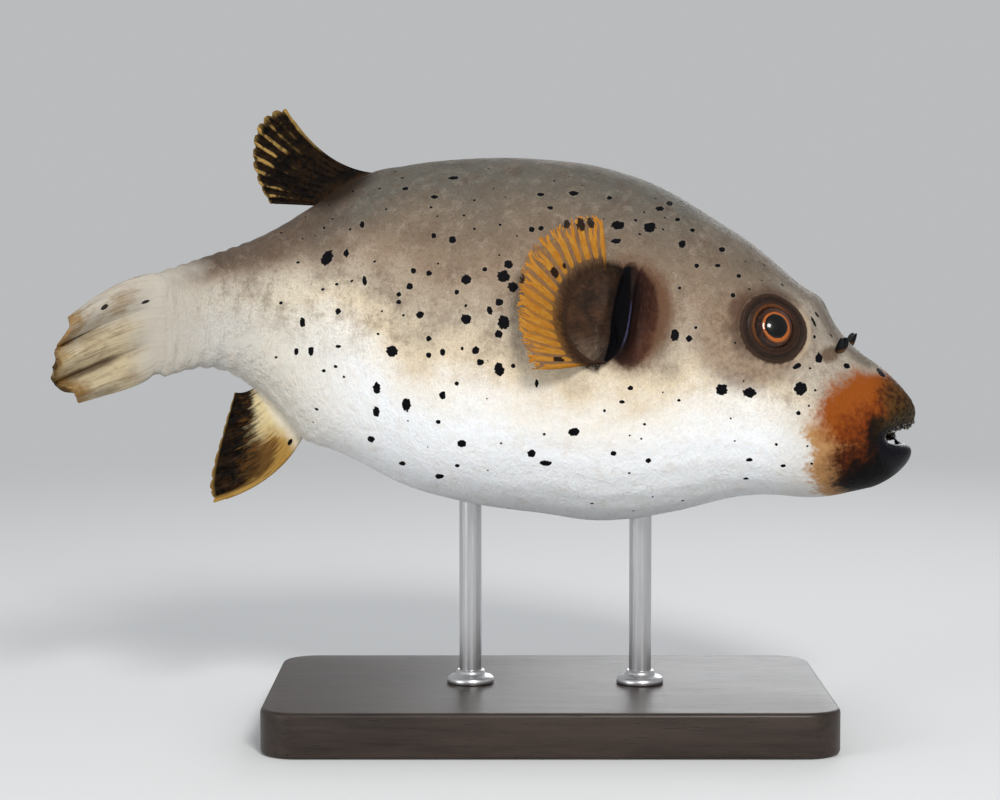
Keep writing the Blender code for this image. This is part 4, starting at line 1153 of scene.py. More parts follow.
def make_nostrils(look):
    """Two-lobed flaps: a rounded leaf with a notch, cupped and thick in the middle."""
    material = nostril_material()
    turn = np.arange(72) / 72 * 2 * math.pi
    radial = np.sin(np.linspace(0, math.pi / 2, 12))[1:]
    for name, sign in (("right", -1), ("left", 1)):
        foot, forward, out = flank_frame(NOSTRIL_STATION, NOSTRIL_HEIGHT, sign)
        rise = out - forward * NOSTRIL_LEAN_BACK + np.array([0.0, 0.0, NOSTRIL_LEAN_UP])
        rise /= np.linalg.norm(rise)
        thick = np.cross(forward, out)
        notch = 1 - 0.28 * ridge(turn - math.pi / 2, 0.34)
        rings = []
        for face in (1, -1):
            for r in (radial if face > 0 else radial[::-1][1:]):
                u = r * np.cos(turn) * notch * (1.45 + 0.25 * np.sin(turn)) * NOSTRIL_WIDE / 2
                v = (0.54 + 0.68 * r * np.sin(turn) * notch) * NOSTRIL_TALL
                bulge = face * 0.90 * math.sqrt(max(1 - r * r, 0)) * look.nostril_thick
                w = bulge * (1.15 - 0.35 * v / NOSTRIL_TALL) + 0.10 * u ** 2
                rings.append(foot + forward * u[:, None] + rise * (v - 0.25)[:, None]
                             + thick * w[:, None])
        points, faces, corners = tube(np.array(rings))
        foot_value = ease(-((points - foot) @ rise), -2.6, -0.2)
        piece = make_piece("nostril_flap_" + name, points, faces, {"foot": foot_value}, corners,
                           material)
        settle(piece, "nostril", "nostril_" + name)


# ---- beak and lip papillae
def beak_material():
    constants = {"Coat Weight": 0.6, "Coat Roughness": 0.12, "Subsurface Weight": 0.15,
                 "Subsurface Scale": 0.0015}
    material, t, shader = new_material("beak_plate", constants)
    root, across = t.value("root"), t.value("across")
    grain = t.noise(0.9, 3, stretch=(1.0, 1.0, 0.3))
    color = t.mix(root.step(0.35, 0.95), (0.66, 0.70, 0.72), (0.34, 0.28, 0.18))
    color = t.mix((grain - 0.5).step(0.0, 0.3) * 0.35, color, (0.40, 0.36, 0.27))
    seam = across.step(0.475, 0.498) * across.step(0.525, 0.502)
    color = t.mix(seam * 0.8, color, (0.12, 0.09, 0.06))
    join_surface(t, shader, color, 0.24 + grain * 0.15, bumps=((grain, 0.05),))
    return material


def make_beak():
    """The two tooth plates, bent round the jaw, each with a seam in its middle."""
    material = beak_material()
    for name, sign in (("upper", 1), ("lower", -1)):
        middle = (LIP_EDGE_UPPER + LIP_EDGE_LOWER) / 2 \
            - sign * (LIP_EDGE_LOWER - LIP_EDGE_UPPER) / 2
        turns = np.radians(np.linspace(-BEAK_TURN, BEAK_TURN, 61))
        root = np.linspace(0, 1, 15)
        turn_grid, root_grid = np.meshgrid(turns, root)
        bow = BEAK_BACK + middle + (LIP_EDGE_SIDE - middle) * np.sin(turn_grid) ** 2
        seam = np.exp(-(turn_grid / 0.035) ** 2)
        level = BEAK_EDGE + (BEAK_ROOT - BEAK_EDGE) * root_grid + 0.16 * seam * (1 - root_grid)
        grid = place(bow + 0.10 * seam, BEAK_HALF_WIDTH * np.sin(turn_grid),
                     GAPE_LEVEL + sign * level)
        thickness = BEAK_THICK * (0.32 + 0.68 * np.sqrt(np.clip(root_grid * 1.6, 0, 1)))
        points, faces, corners = thick_sheet(grid, thickness)
        across = (turn_grid / math.radians(2 * BEAK_TURN) + 0.5).ravel()
        values = {"root": np.tile(root_grid.ravel(), 2), "across": np.tile(across, 2)}
        piece = make_piece("beak_plate_" + name, points, faces, values, corners, material)
        settle(piece, "beak", "beak_" + name)


def papilla_material():
    constants = {"Coat Weight": 0.5, "Coat Roughness": 0.10, "Roughness": 0.30}
    material, t, shader = new_material("lip_papilla", constants)
    tone = t.noise(1.6, 2)
    color = t.ramp(tone, (0.40, (0.006, 0.006, 0.009)), (0.58, (0.050, 0.034, 0.016)),
                   (0.74, (0.17, 0.15, 0.10)))
    join_surface(t, shader, color)
    return material


def papilla_group():
    """Small wet knobs on scattered points, standing along each point's own direction."""
    tree, given = new_group("papillae", (("Points", "Geometry"), ("Size", "Float"),
                                         ("Slenderness", "Float"), ("Finish", "Material")))
    knob = tree.add("GeometryNodeMeshUVSphere", {}, {"Segments": 8, "Rings": 5, "Radius": 1.0})
    tall = tree.add("ShaderNodeCombineXYZ", {}, {"X": 1.0, "Y": 1.0, "Z": given("Slenderness")})
    knob = tree.add("GeometryNodeTransform", {}, {"Geometry": knob, "Scale": tall})
    turn = tree.add("FunctionNodeAlignRotationToVector", {"axis": "Z"},
                    {"Vector": named(tree, "out", "FLOAT_VECTOR")})
    size = named(tree, "size") * given("Size")
    dots = tree.add("GeometryNodeMeshToPoints", {}, {"Mesh": given("Points")})
    made = tree.add("GeometryNodeInstanceOnPoints", {},
                    {"Points": dots, "Instance": knob, "Rotation": turn, "Scale": size})
    return end_group(tree, made, given("Finish"))


def make_papillae(look):
    """Rows of knobs along the inner edge of the upper lip and round the corners of the mouth."""
    rng = np.random.default_rng(5)
    angles = skin_angles()
    rings, levels = lip_part(angles)
    world = place(rings[..., 0], rings[..., 1], rings[..., 2])
    inner = place(rings[..., 0] + 2.0, 0.0, np.full(rings.shape[:2], GAPE_LEVEL))
    dots, outs, sizes = [], [], []
    for level, count in ((1.45, 46), (1.66, 40), (1.86, 34)):
        row = int(np.argmin(np.abs(levels - level)))
        for i in range(count):
            turn = (i + rng.uniform(-0.35, 0.35)) / count * 2 * math.pi
            column = int(np.argmin(np.abs(np.mod(angles - turn + math.pi, 2 * math.pi) - math.pi)))
            if math.sin(turn) < rng.uniform(-0.45, -0.15):
                continue
            off = world[row, column] - inner[row, column]
            off[0] += 1.0
            out = off / np.linalg.norm(off)
            dots.append(world[row, column] - out * rng.uniform(0.02, 0.14))
            outs.append(out + rng.normal(0, 0.25, 3))
            sizes.append(rng.uniform(0.28, 0.66))
    piece = make_piece("lip_papillae", dots, [], {"out": np.array(outs), "size": np.array(sizes)})
    material = papilla_material()
    apply_nodes(piece, papilla_group(), {"Size": look.papilla_size * MM, "Slenderness": 0.75,
                                         "Finish": material})
    settle(piece, "skin")


# ---- fins
def through(points, across):
    """Smooth curve through evenly spaced points, at values from 0 to 1."""
    places = np.linspace(0, 1, len(points))
    return [Spline(list(zip(places, values)))(across) for values in zip(*points)]


def upright_surface(base, line, lift, tips, sweep):
    """Middle surface of the dorsal or anal fin: bent rays in the plane of the body's midline."""
    def at(across, along):
        base_station = base[0] + (base[1] - base[0]) * across
        base_height = line(base_station) + lift
        tip_station, tip_height = through(tips, across)
        bend_station = base_station + sweep[0][0] + (sweep[1][0] - sweep[0][0]) * across
        bend_height = base_height + sweep[0][1] + (sweep[1][1] - sweep[0][1]) * across
        a, b, c = (1 - along) ** 2, 2 * along * (1 - along), along ** 2
        return place(a * base_station + b * bend_station + c * tip_station,
                     np.zeros_like(base_station + along),
                     a * base_height + b * bend_height + c * tip_height)
    return at


def pectoral_surface(sign):
    """Middle surface of a pectoral fin, spread from the round rear edge of its lobe."""
    def at(across, along):
        across, along = np.broadcast_arrays(across, along)
        root = np.radians(PECTORAL_ROOT_ARC[0] + np.ptp(PECTORAL_ROOT_ARC) * across)
        tip = np.radians(PECTORAL_TIP_ARC[0] + np.ptp(PECTORAL_TIP_ARC) * across)
        reach = PECTORAL_REACH + PECTORAL_CREST * bell((np.degrees(tip)
                                                        - PECTORAL_CREST_ANGLE) / 60)
        root_station = LOBE_STATION - PECTORAL_ROOT_RADIUS * np.cos(root)
        root_height = LOBE_HEIGHT + PECTORAL_ROOT_RADIUS * np.sin(root)
        station = root_station + (LOBE_STATION - reach * np.cos(tip) - root_station) * along
        height = root_height + (LOBE_HEIGHT + reach * np.sin(tip) - root_height) * along
        flare = PECTORAL_FLARE[0] + (PECTORAL_FLARE[1] - PECTORAL_FLARE[0]) * across
        side = flank_side(root_station, root_height, 1) + ROOT_GAP + FIN_BASE_THICK * 0.6
        side = side + flare * (1 - (1 - np.maximum(along, 0)) ** 2)
        side = side - PECTORAL_LEAN * along * np.maximum(np.sin(root), 0) ** 2
        side = side + 3.2 * np.minimum(along, 0)
        return place(station, sign * side, height)
    return at


def caudal_surface(across, along):
    """Middle surface of the tail fin, half folded into pleats and curled to the right."""
    across, along = np.broadcast_arrays(across, along)
    start = STEM_END + STEM_TIP_LENGTH + ROOT_GAP
    top, bottom = back_height(STEM_END) - CAUDAL_INSET, keel_height(STEM_END) + CAUDAL_INSET
    length = through([(v,) for v in CAUDAL_LENGTHS], across)[0] * along
    tip_level = through([(v,) for v in CAUDAL_TIP_LEVELS], across)[0]
    root_level = top + (bottom - top) * across
    droop = CAUDAL_DROOP[0] + (CAUDAL_DROOP[1] - CAUDAL_DROOP[0]) * across
    held = np.maximum(along, 0)
    height = root_level + (tip_level - root_level) * held ** droop
    first, last = np.radians(CAUDAL_CURL)
    turn = (last - first) / CAUDAL_CURL_LENGTH
    lobe = np.abs(np.sin(math.pi * CAUDAL_PLEATS * across))
    length = length * (1 - 0.07 * (1 - lobe) ** 2 * ease(held, 0.2, 1.0))
    angle = first + turn * length
    pleat = -CAUDAL_PLEAT * (2.5 * np.sqrt(lobe ** 2 + 0.01) - 1.35) * held ** 0.8
    x = -(np.sin(angle) - math.sin(first)) / turn - pleat * np.sin(angle)
    y = (np.cos(angle) - math.cos(first)) / turn + pleat * np.cos(angle)
    foot = place(start, 0.0, 0.0)
    return np.stack([foot[0] + x, foot[1] + y, height], axis=-1)


class FinPlan:
    """How one fin is made: its surface, rays, thicknesses in mm and the shape of its edge."""

    def __init__(self, name, surface, rays, node, slot, **sizes):
        self.name, self.surface, self.rays, self.node, self.slot = name, surface, rays, node, slot
        self.ray_width, self.flatness, self.fork = 0.4, 0.75, 0.17
        self.base, self.root, self.thin, self.decay, self.lead = 5.0, -0.06, 0.32, 0.10, 0.0
        self.scallop, self.ragged, self.waver, self.fine, self.seed = 0.03, 0.01, 0.04, 16, 0
        self.parting, self.reach, self.notch = 0.48, 0.97, 2
        for key, value in sizes.items():
            setattr(self, key, value)

    def edge(self, across):
        """How far along the edge reaches: less between the rays, and nicked here and there."""
        gap = np.sin(math.pi * across * (self.rays - 1)) ** self.notch
        nicks = soft_noise(np.stack([across * 11, across * 0, across * 0], -1), 1.0, self.seed)
        return 1 - self.scallop * gap - self.ragged * (nicks + 1)

    def thickness(self, across, along):
        """Fleshy at the base, where its section is a lens, and thin at the edge."""
        held = np.maximum(along + self.lead, 0)
        lens = np.sqrt(np.maximum(1 - np.abs(2 * across - 1) ** 4, 0))
        blend = ease(-along, -0.35, 0.0)
        thick = self.thin + (self.base - self.thin) * np.exp(-held / self.decay)
        return np.maximum(thick * (1 - blend * (1 - lens)), 0.7 * self.thin)


def make_membrane(plan, material):
    """Thin sheet between the rays, fleshy at its base and slack between the rays."""
    columns, rows = (plan.rays - 1) * plan.fine + 1, 64
    across, down = np.meshgrid(np.linspace(0, 1, columns), np.linspace(0, 1, rows))
    along = plan.root + (plan.edge(across) - plan.root) * down
    grid = plan.surface(across, along)
    normal = unit(np.cross(np.gradient(grid, axis=0), np.gradient(grid, axis=1)))
    gap = np.sin(math.pi * across * (plan.rays - 1)) ** 2
    held = np.clip(along, 0, 1)
    slack = 0.25 * soft_noise(grid, 5.0, plan.seed + 20) * held
    grid = grid + normal * (slack * gap)[..., None]
    points, faces, corners = thick_sheet(grid, plan.thickness(across, along))
    values = {"along": np.tile(held.ravel(), 2), "across": np.tile(across.ravel(), 2)}
    piece = make_piece(plan.name + "_membrane", points, faces, values, corners, material)
    return settle(piece, plan.slot, plan.node)


def ray_lines(plan):
    """Four strands for each ray, side by side at its root, that part in pairs towards its tip.

    Each strand is its ray's place across, the side it takes at the first parting and at the
    second (-1 or 1), the place along of the first parting, and the place along of its tip.
    """
    lines = []
    for ray in range(plan.rays):
        parting = plan.parting + 0.16 * math.sin(ray * 2.4 + plan.seed)
        for fork in (-1, 1):
            for twig in (-1, 1):
                tip = plan.reach - 0.035 * (1 + math.sin(ray * 5.1 + fork * 1.7 + twig * 2.9))
                lines.append((ray / (plan.rays - 1), fork, twig, parting, tip))
    return lines


def ray_group():
    """Sweeps a flattened round section along each line, as wide as its own value says."""
    tree, given = new_group("fin rays", (("Lines", "Geometry"), ("Width", "Float"),
                                         ("Flatness", "Float"), ("Sides", "Int"),
                                         ("Finish", "Material")))
    curve = tree.add("GeometryNodeMeshToCurve", {}, {"Mesh": given("Lines")})
    curve = tree.add("GeometryNodeSetCurveNormal", {"mode": "FREE"},
                     {"Curve": curve, "Normal": named(tree, "out", "FLOAT_VECTOR")})
    width = named(tree, "wide") * given("Width")
    circle = tree.add("GeometryNodeCurvePrimitiveCircle", {"mode": "RADIUS"},
                      {"Resolution": given("Sides"), "Radius": 1.0})
    flat = tree.add("ShaderNodeCombineXYZ", {}, {"X": given("Flatness"), "Y": 1.0, "Z": 1.0})
    circle = tree.add("GeometryNodeTransform", {}, {"Geometry": circle, "Scale": flat})
    swept = tree.add("GeometryNodeCurveToMesh", {}, {"Curve": curve, "Profile Curve": circle,
                                                     "Scale": width, "Fill Caps": True})
    return end_group(tree, swept, given("Finish"))


RAY_POINTS = 22              # points along one strand


def make_rays(plan, material, look):
    """Lines that carry their own width and the fin's normal, swept into rays."""
    lists = {"out": [], "wide": [], "along": [], "across": []}
    points, edges = [], []
    spacing = 1 / (plan.rays - 1)
    for middle, fork, twig, parting, tip in ray_lines(plan):
        t = np.linspace(0, 1, RAY_POINTS)
        along = plan.root + (tip * (plan.edge(middle) if plan.reach < 1 else 1) - plan.root) * t
        first = ease(along, min(parting, 0.85), 1.05)
        second = ease(along, min(parting + 0.22, 0.92), 1.05)
        shift = fork * (0.11 + plan.fork * first) + twig * (0.05 + 0.6 * plan.fork * second)
        loose = plan.waver * (0.3 + first) * ease(along, 0.1, 0.6)
        sway = soft_noise(np.stack([along * 5, middle * 30 + fork + along * 0, along * 0], -1),
                          1.0, 31)
        across = np.clip(middle + spacing * (shift + 3 * loose * sway), 0, 1)
        wide = (0.40 + 0.30 * ease(along, 0.0, 0.3)) * (1 - 0.45 * first) * (1 - 0.50 * second)
        grid = plan.surface(across, along)
        step = 0.004
        down = plan.surface(across, along + step) - grid
        aside = plan.surface(np.clip(across + step, 0, 1), along) \
            - plan.surface(np.clip(across - step, 0, 1), along)
        normal = unit(np.cross(down, aside))
        edges += [(len(points) + i, len(points) + i + 1) for i in range(len(t) - 1)]
        points += list(grid)
        lists["out"] += list(normal)
        lists["wide"] += list(wide)
        lists["along"] += list(along)
        lists["across"] += list(across)
    mesh = bpy.data.meshes.new(plan.name + "_rays")
    mesh.from_pydata((np.array(points) * MM).tolist(), edges, [])
    for key, value in lists.items():
        add_values(mesh, key, value)
    piece = add_object(plan.name + "_rays", mesh)
    apply_nodes(piece, ray_group(), {"Width": plan.ray_width * look.ray_width * MM,
                                     "Flatness": plan.flatness, "Sides": 10,
                                     "Finish": material})
    return settle(piece, plan.slot)


def fin_marks(t, along, across, grain, marks):
    """Dark marks on a fin: each is (across, along, half breadth, half length)."""
    nearest = [t.oval((across, a, half_a), (along, b, half_b)) for a, b, half_a, half_b in marks]
    return (t.least(*nearest) + (grain - 0.5) * 0.5).step(1.1, 0.9)


def fin_noise(t, along, across, fine, long):
    """Noise drawn out along the rays: fine streaks across the fin, long ones along it."""
    spread = t.add("ShaderNodeCombineXYZ", {}, {"X": across * fine, "Y": along * long, "Z": 0.0})
    return t.noise_at(spread)


PECTORAL_MARKS = ((0.06, 0.86, 0.02, 0.10), (0.115, 0.84, 0.02, 0.12), (0.19, 0.93, 0.022, 0.08),
                  (0.375, 0.42, 0.022, 0.09), (0.30, 0.36, 0.013, 0.05),
                  (0.53, 0.95, 0.022, 0.08), (0.94, 0.45, 0.016, 0.10))
FIN_SHINE = {"Subsurface Weight": 0.12, "Subsurface Radius": (1.0, 0.5, 0.2),
             "Subsurface Scale": 0.001, "Specular IOR Level": 0.04}


def yellow_finish(name, membrane, look):
    """Pectoral fin: yellow-orange rays with a dusky membrane between them."""
    material, t, shader = new_material(name, FIN_SHINE)
    along, across = t.value("along"), t.value("across")
    grain, cloud = t.noise(0.8, 3), t.noise(3.5, 3)
    streak = fin_noise(t, along, across, 90, 6)
    if membrane:
        color = t.mix(cloud, (0.100, 0.052, 0.030), (0.230, 0.140, 0.080))
        warm = across.step(0.42, 0.60) * across.step(0.95, 0.75) + cloud.step(0.5, 0.7) * 0.4
        color = t.mix(warm * 0.65, color, (0.290, 0.118, 0.016))
        color = t.mix(streak.step(0.45, 0.70) * 0.45, color, (0.36, 0.175, 0.026))
    else:
        color = t.mix(streak.step(0.35, 0.65), tuple(look.ray_color), (0.37, 0.140, 0.013))
        color = t.mix(cloud.step(0.45, 0.75) * 0.4, color, (0.34, 0.105, 0.009))
        joints = (along + (grain - 0.5) * 0.02).waves(0.04).step(0.72, 1.0)
        color = t.mix(joints * along.step(0.3, 0.6) * 0.18, color, (0.22, 0.08, 0.02))
    bare = along + (streak - 0.5) * 0.14 + (cloud - 0.5) * 0.16
    root = bare.step(0.40, 0.0) if membrane else bare.step(0.30, -0.04)
    color = t.mix(root, color, t.mix(streak.step(0.3, 0.7), (0.020, 0.011, 0.007),
                                     (0.044, 0.022, 0.012)))
    marks = fin_marks(t, along, across, grain, PECTORAL_MARKS)
    color = t.mix(marks * (0.90 if membrane else 0.96), color, (0.0035, 0.0040, 0.0055))
    join_surface(t, shader, color, 0.5 + (grain - 0.5) * 0.2, bumps=((streak, 0.10),))
    return material


def dark_finish(name, membrane, anal):
    """Dorsal and anal fins: black-brown with gold streaks; the anal fin's front is gold."""
    material, t, shader = new_material(name, FIN_SHINE)
    along, across = t.value("along"), t.value("across")
    grain, cloud = t.noise(0.9, 3), t.noise(4.5, 3, 0.6)
    clouds = cloud - 0.5
    streak = fin_noise(t, along, across, 34, 2.5) - 0.5
    fine = fin_noise(t, along, across, 110, 5) - 0.5
    rays = (across + clouds * 0.02).waves(1 / (ANAL_RAYS - 1))
    black = t.mix((grain + clouds).step(0.3, 0.75), (0.0022, 0.0017, 0.0015),
                  (0.016, 0.008, 0.003))
    gold = t.mix(grain, (0.20, 0.105, 0.018), (0.44, 0.30, 0.10))
    if anal:
        color = t.mix(cloud, (0.27, 0.135, 0.022), (0.40, 0.26, 0.075))
        color = t.mix((across + clouds * 0.5 - along * 0.25).step(0.16, 0.50) * 0.9, color,
                      (0.62, 0.53, 0.31))
        color = t.mix((along + clouds * 0.2).step(0.22, 0.04), color, (0.74, 0.68, 0.56))
        middle = t.oval((across, 0.24, 0.20), (along, 0.46, 0.24)) + streak * 2.6 + fine * 1.2
        color = t.mix(middle.step(1.1, 0.5) * 0.85, color, (0.075, 0.030, 0.008))
        reach = along * 1.15 + across * across * 0.45 + streak * 0.80 + clouds * 0.55
        dark = reach.step(0.46, 0.86) * (across + streak * 0.04).step(0.02, 0.09)
        color = t.mix(dark, color, black)
        light = (fine * 0.8 + streak + clouds * 0.5).step(0.00, 0.22) * along.step(1.0, 0.5)
        color = t.mix(light * dark * 0.60, color, (0.150, 0.062, 0.012))
        spot = fin_marks(t, along, across, grain, ((0.13, 0.14, 0.03, 0.035),))
        color = t.mix(spot, color, (0.004, 0.004, 0.005))
        color = t.mix(along.step(0.95, 0.99) * 0.65, color, (0.30, 0.18, 0.05))
    else:
        color = black
        bars = (rays + fine * 2.0 + clouds).step(0.30, 0.95) * cloud.step(0.36, 0.60)
        reach = (along + streak * 0.8 + clouds * 0.6).step(0.58, 0.94)
        rear = (across + along * 0.2).step(0.30, 0.62) * 0.6 + 0.4
        rim = (along + fine * 0.12).step(0.93, 1.0) * 0.55
        front = across.step(0.045, 0.005) * (along + streak * 0.6).step(0.45, 0.80) * 0.7
        color = t.mix((bars * reach * rear + rim + front).step(0.05, 1.0), color, gold)
        color = t.mix(along.step(0.14, 0.0) * 0.5, color, (0.062, 0.036, 0.022))
    ridges = rays * along.step(0.05, 0.3)
    join_surface(t, shader, color, 0.5 + (grain - 0.5) * 0.2,
                 bumps=((ridges, 0.10 if membrane else 0.0), (fine, 0.10)))
    return material


def tail_finish(name):
    """Tail fin: beige, with painted shade in its two folds, and a yellow-brown edge."""
    material, t, shader = new_material(name, FIN_SHINE)
    along, across = t.value("along"), t.value("across")
    grain, cloud = t.noise(1.1, 3), t.noise(5.0, 3, 0.6)
    clouds = cloud - 0.5
    streak = fin_noise(t, along, across, 26, 2.2) - 0.5
    fine = (fin_noise(t, along, across, 95, 4) - 0.5) * along.step(-0.02, 0.30)
    color = t.mix((across + clouds * 0.3).step(0.22, 0.50), (0.45, 0.41, 0.35),
                  (0.50, 0.42, 0.275))
    color = t.mix((cloud + streak * 0.5).step(0.40, 0.72) * 0.8, color, (0.33, 0.255, 0.165))
    color = t.mix((along + streak * 0.3).step(0.36, 0.0), color, TAIL_ROOT_COLOR)
    color = t.mix((fine + streak * 0.5).step(0.02, 0.22) * 0.55, color, (0.150, 0.100, 0.058))
    color = t.mix((0 - fine).step(0.05, 0.25) * 0.30, color, (0.66, 0.56, 0.40))
    # Painted shade along the two valleys of the pleats.
    bent = across + streak * 0.06
    deep_painted_shade = t.least((bent - 2 / 3) * (bent - 2 / 3) * 300,
                   (bent - 1 / 3) * (bent - 1 / 3) * 480 + along.step(0.75, 0.45))
    color = t.mix(deep_painted_shade.step(1.0, 0.0) * (along + streak * 0.4).step(0.10, 0.5) * 0.85, color,
                  (0.060, 0.032, 0.014))
    edge = (along + clouds * 0.30 + streak * 0.25).step(0.74, 0.98)
    color = t.mix(edge * 0.85, color, (0.250, 0.135, 0.030))
    tip = (along + clouds * 0.35).step(0.90, 1.0) * t.oval((across, 0.58, 0.30),
                                                           (along, 1.0, 0.4)).step(1.0, 0.6)
    color = t.mix(tip * 0.9, color, (0.034, 0.018, 0.008))
    spots = fin_marks(t, along, across, grain, ((0.16, 0.55, 0.018, 0.045),
                                                (0.24, 0.10, 0.014, 0.038)))
    color = t.mix(spots * 0.95, color, (0.005, 0.0045, 0.0045))
    join_surface(t, shader, color, 0.55 + (grain - 0.5) * 0.2,
                 bumps=((fine, 0.30), (streak, 0.35), (grain, 0.06)))
    return material


def make_fin(plan, finishes, look):
    make_membrane(plan, finishes[0])
    make_rays(plan, finishes[1], look)


def make_upright_fins(look):
    dorsal_surface = upright_surface(DORSAL_BASE, back_height, ROOT_GAP, DORSAL_TIPS, DORSAL_SWEEP)
    anal_surface = upright_surface(ANAL_BASE, keel_height, -ROOT_GAP, ANAL_TIPS, ANAL_SWEEP)
    dorsal = FinPlan("dorsal", dorsal_surface, DORSAL_RAYS, "dorsal_fin", "fin_dark",
                     ray_width=0.40, base=6.0, root=-0.08, scallop=0.02, notch=6, seed=1)
    anal = FinPlan("anal", anal_surface, ANAL_RAYS, "anal_fin", "fin_dark", ray_width=0.40,
                   base=5.0, root=-0.08, scallop=0.014, notch=6, seed=2)
    for plan, is_anal in ((dorsal, False), (anal, True)):
        finishes = [dark_finish(plan.name + kind, membrane, is_anal)
                    for kind, membrane in (("_web", True), ("_ray", False))]
        make_fin(plan, finishes, look)


def make_pectorals(look):
    finishes = (yellow_finish("pectoral_web", True, look),
                yellow_finish("pectoral_ray", False, look))
    for name, sign in (("right", -1), ("left", 1)):
        plan = FinPlan("pectoral_" + name, pectoral_surface(sign), PECTORAL_RAYS,
                       "pectoral_fin_" + name, "fin_yellow", ray_width=0.70, flatness=0.60,
                       base=1.5, root=-0.35, thin=0.24, decay=0.15, scallop=0.12, ragged=0.04,
                       waver=0.10, fork=0.20, parting=0.60, reach=1.0, seed=3)
        make_fin(plan, finishes, look)


def make_caudal(look):
    plan = FinPlan("caudal", caudal_surface, CAUDAL_RAYS, "caudal_fin", "fin_tail",
                   ray_width=0.55, flatness=0.75, base=CAUDAL_THICK, root=-0.20, thin=0.85,
                   decay=0.16, lead=0.045, scallop=0.02, ragged=0.012, fine=30, seed=4)
    finish = tail_finish("tail_fin")
    make_fin(plan, (finish, finish), look)


# ---- stand
BOARD_CORNER, BOARD_EDGE = 10.0, 1.2


def board_material(look):
    constants = {"Coat Weight": 0.15, "Coat Roughness": 0.28, "Specular IOR Level": 0.22}
    material, t, shader = new_material("stand_board", constants)
    grain = t.noise(2.2, 4, 0.6, stretch=(0.10, 1.0, 1.0))
    broad = t.noise(14, 3, 0.6, stretch=(0.22, 1.0, 1.0))
    color = t.ramp(grain * 0.6 + broad * 0.4, (0.38, tuple(look.board_color)),
                   (0.62, tuple(2.1 * c for c in look.board_color)))
    pores = t.noise(0.5, 2, stretch=(0.06, 1.0, 1.0)).step(0.60, 0.72)
    color = t.mix(pores * 0.6, color, (0.004, 0.003, 0.003))
    join_surface(t, shader, color, 0.38 + grain * 0.18, bumps=((grain, 0.05), (pores, -0.06)))
    return material


def steel_material():
    constants = {"Metallic": 1.0, "Specular IOR Level": 0.5}
    material, t, shader = new_material("stand_steel", constants)
    brushed = t.noise(0.5, 3, stretch=(1.0, 1.0, 0.04))
    color = t.mix(brushed, (0.46, 0.46, 0.47), (0.66, 0.66, 0.67))
    join_surface(t, shader, color, 0.22 + brushed * 0.22, bumps=((brushed, 0.02),))
    return material


def turned_ring(name, x, y, profile, material):
    """Ring turned about an upright axis from a closed (radius, height) profile."""
    around, count = 64, len(profile)
    turn = np.arange(around) / around * 2 * math.pi
    rings = np.array([[(x + r * math.cos(a), y + r * math.sin(a), z) for a in turn]
                      for r, z in profile])
    faces = [(j * around + i, j * around + (i + 1) % around,
              (j + 1) % count * around + (i + 1) % around, (j + 1) % count * around + i)
             for j in range(count) for i in range(around)]
    return make_piece(name, rings.reshape(-1, 3), faces, material=material)


def make_board(material):
    """The stand's board with fine round corners and a soft edge, of the CAD board's size."""
    low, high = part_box("stand_base")
    mesh = bpy.data.meshes.new("stand_board")
    work = bmesh.new()
    bmesh.ops.create_cube(work, size=1.0)
    bmesh.ops.scale(work, vec=high - low, verts=work.verts)
    bmesh.ops.translate(work, vec=(low + high) / 2, verts=work.verts)
    upright = [e for e in work.edges if abs(e.verts[0].co.z - e.verts[1].co.z) > MM]
    bmesh.ops.bevel(work, geom=upright, offset=BOARD_CORNER * MM, segments=20, affect="EDGES",
                    profile=0.5)
    level = [e for e in work.edges if abs(e.verts[0].co.z - e.verts[1].co.z) < MM / 10
             and abs(e.link_faces[0].normal.z - e.link_faces[1].normal.z) > 0.5]
    bmesh.ops.bevel(work, geom=level, offset=BOARD_EDGE * MM, segments=5, affect="EDGES",
                    profile=0.5)
    work.to_mesh(mesh)
    work.free()
    mesh.shade_smooth()
    mesh.set_sharp_from_angle(angle=math.radians(35))
    mesh.materials.append(material)
    settle(add_object("stand_board", mesh), "stand_board", "stand_base")


def finish_stand(look):
    """Dark stained board, brushed rods and a turned collar at the foot of each rod."""
    board, steel = board_material(look), steel_material()
    make_board(board)
    base_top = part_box("stand_base")[1].z / MM
    for end in ("front", "rear"):
        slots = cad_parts["stand_rod_" + end].data.materials
        slots.clear()
        slots.append(steel)
        low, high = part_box("stand_rod_" + end)
        x, y = (low.x + high.x) / 2 / MM, (low.y + high.y) / 2 / MM
        rod = (high.x - low.x) / 2 / MM
        foot = base_top + 0.05
        collar = ((rod + 0.05, foot), (rod + 3.2, foot), (rod + 3.4, foot + 0.3),
                  (rod + 3.3, foot + 1.4), (rod + 2.6, foot + 2.0), (rod + 1.4, foot + 2.2),
                  (rod + 0.9, foot + 3.0), (rod + 0.7, foot + 3.6), (rod + 0.05, foot + 3.7))
        settle(turned_ring("stand_collar_" + end, x, y, collar, steel), "stand_steel")


# ---- stage
CAMERA_DISTANCE, CAMERA_RISE, CAMERA_LENS = 700.0, 4.0, 93.33
CAMERA_TARGET = (-13.0, 0.0, 89.0)


def area_light(name, where, aim, size, power, color):
    """Round soft light of a size in metres that looks at a point."""
    light = bpy.data.lights.new(name, "AREA")
    light.shape, light.size = "DISK", size
    light.energy, light.color = power, color
    thing = add_object(name, light)
    thing.location = where
    thing.rotation_euler = (Vector(aim) - Vector(where)).to_track_quat("-Z", "Y").to_euler()


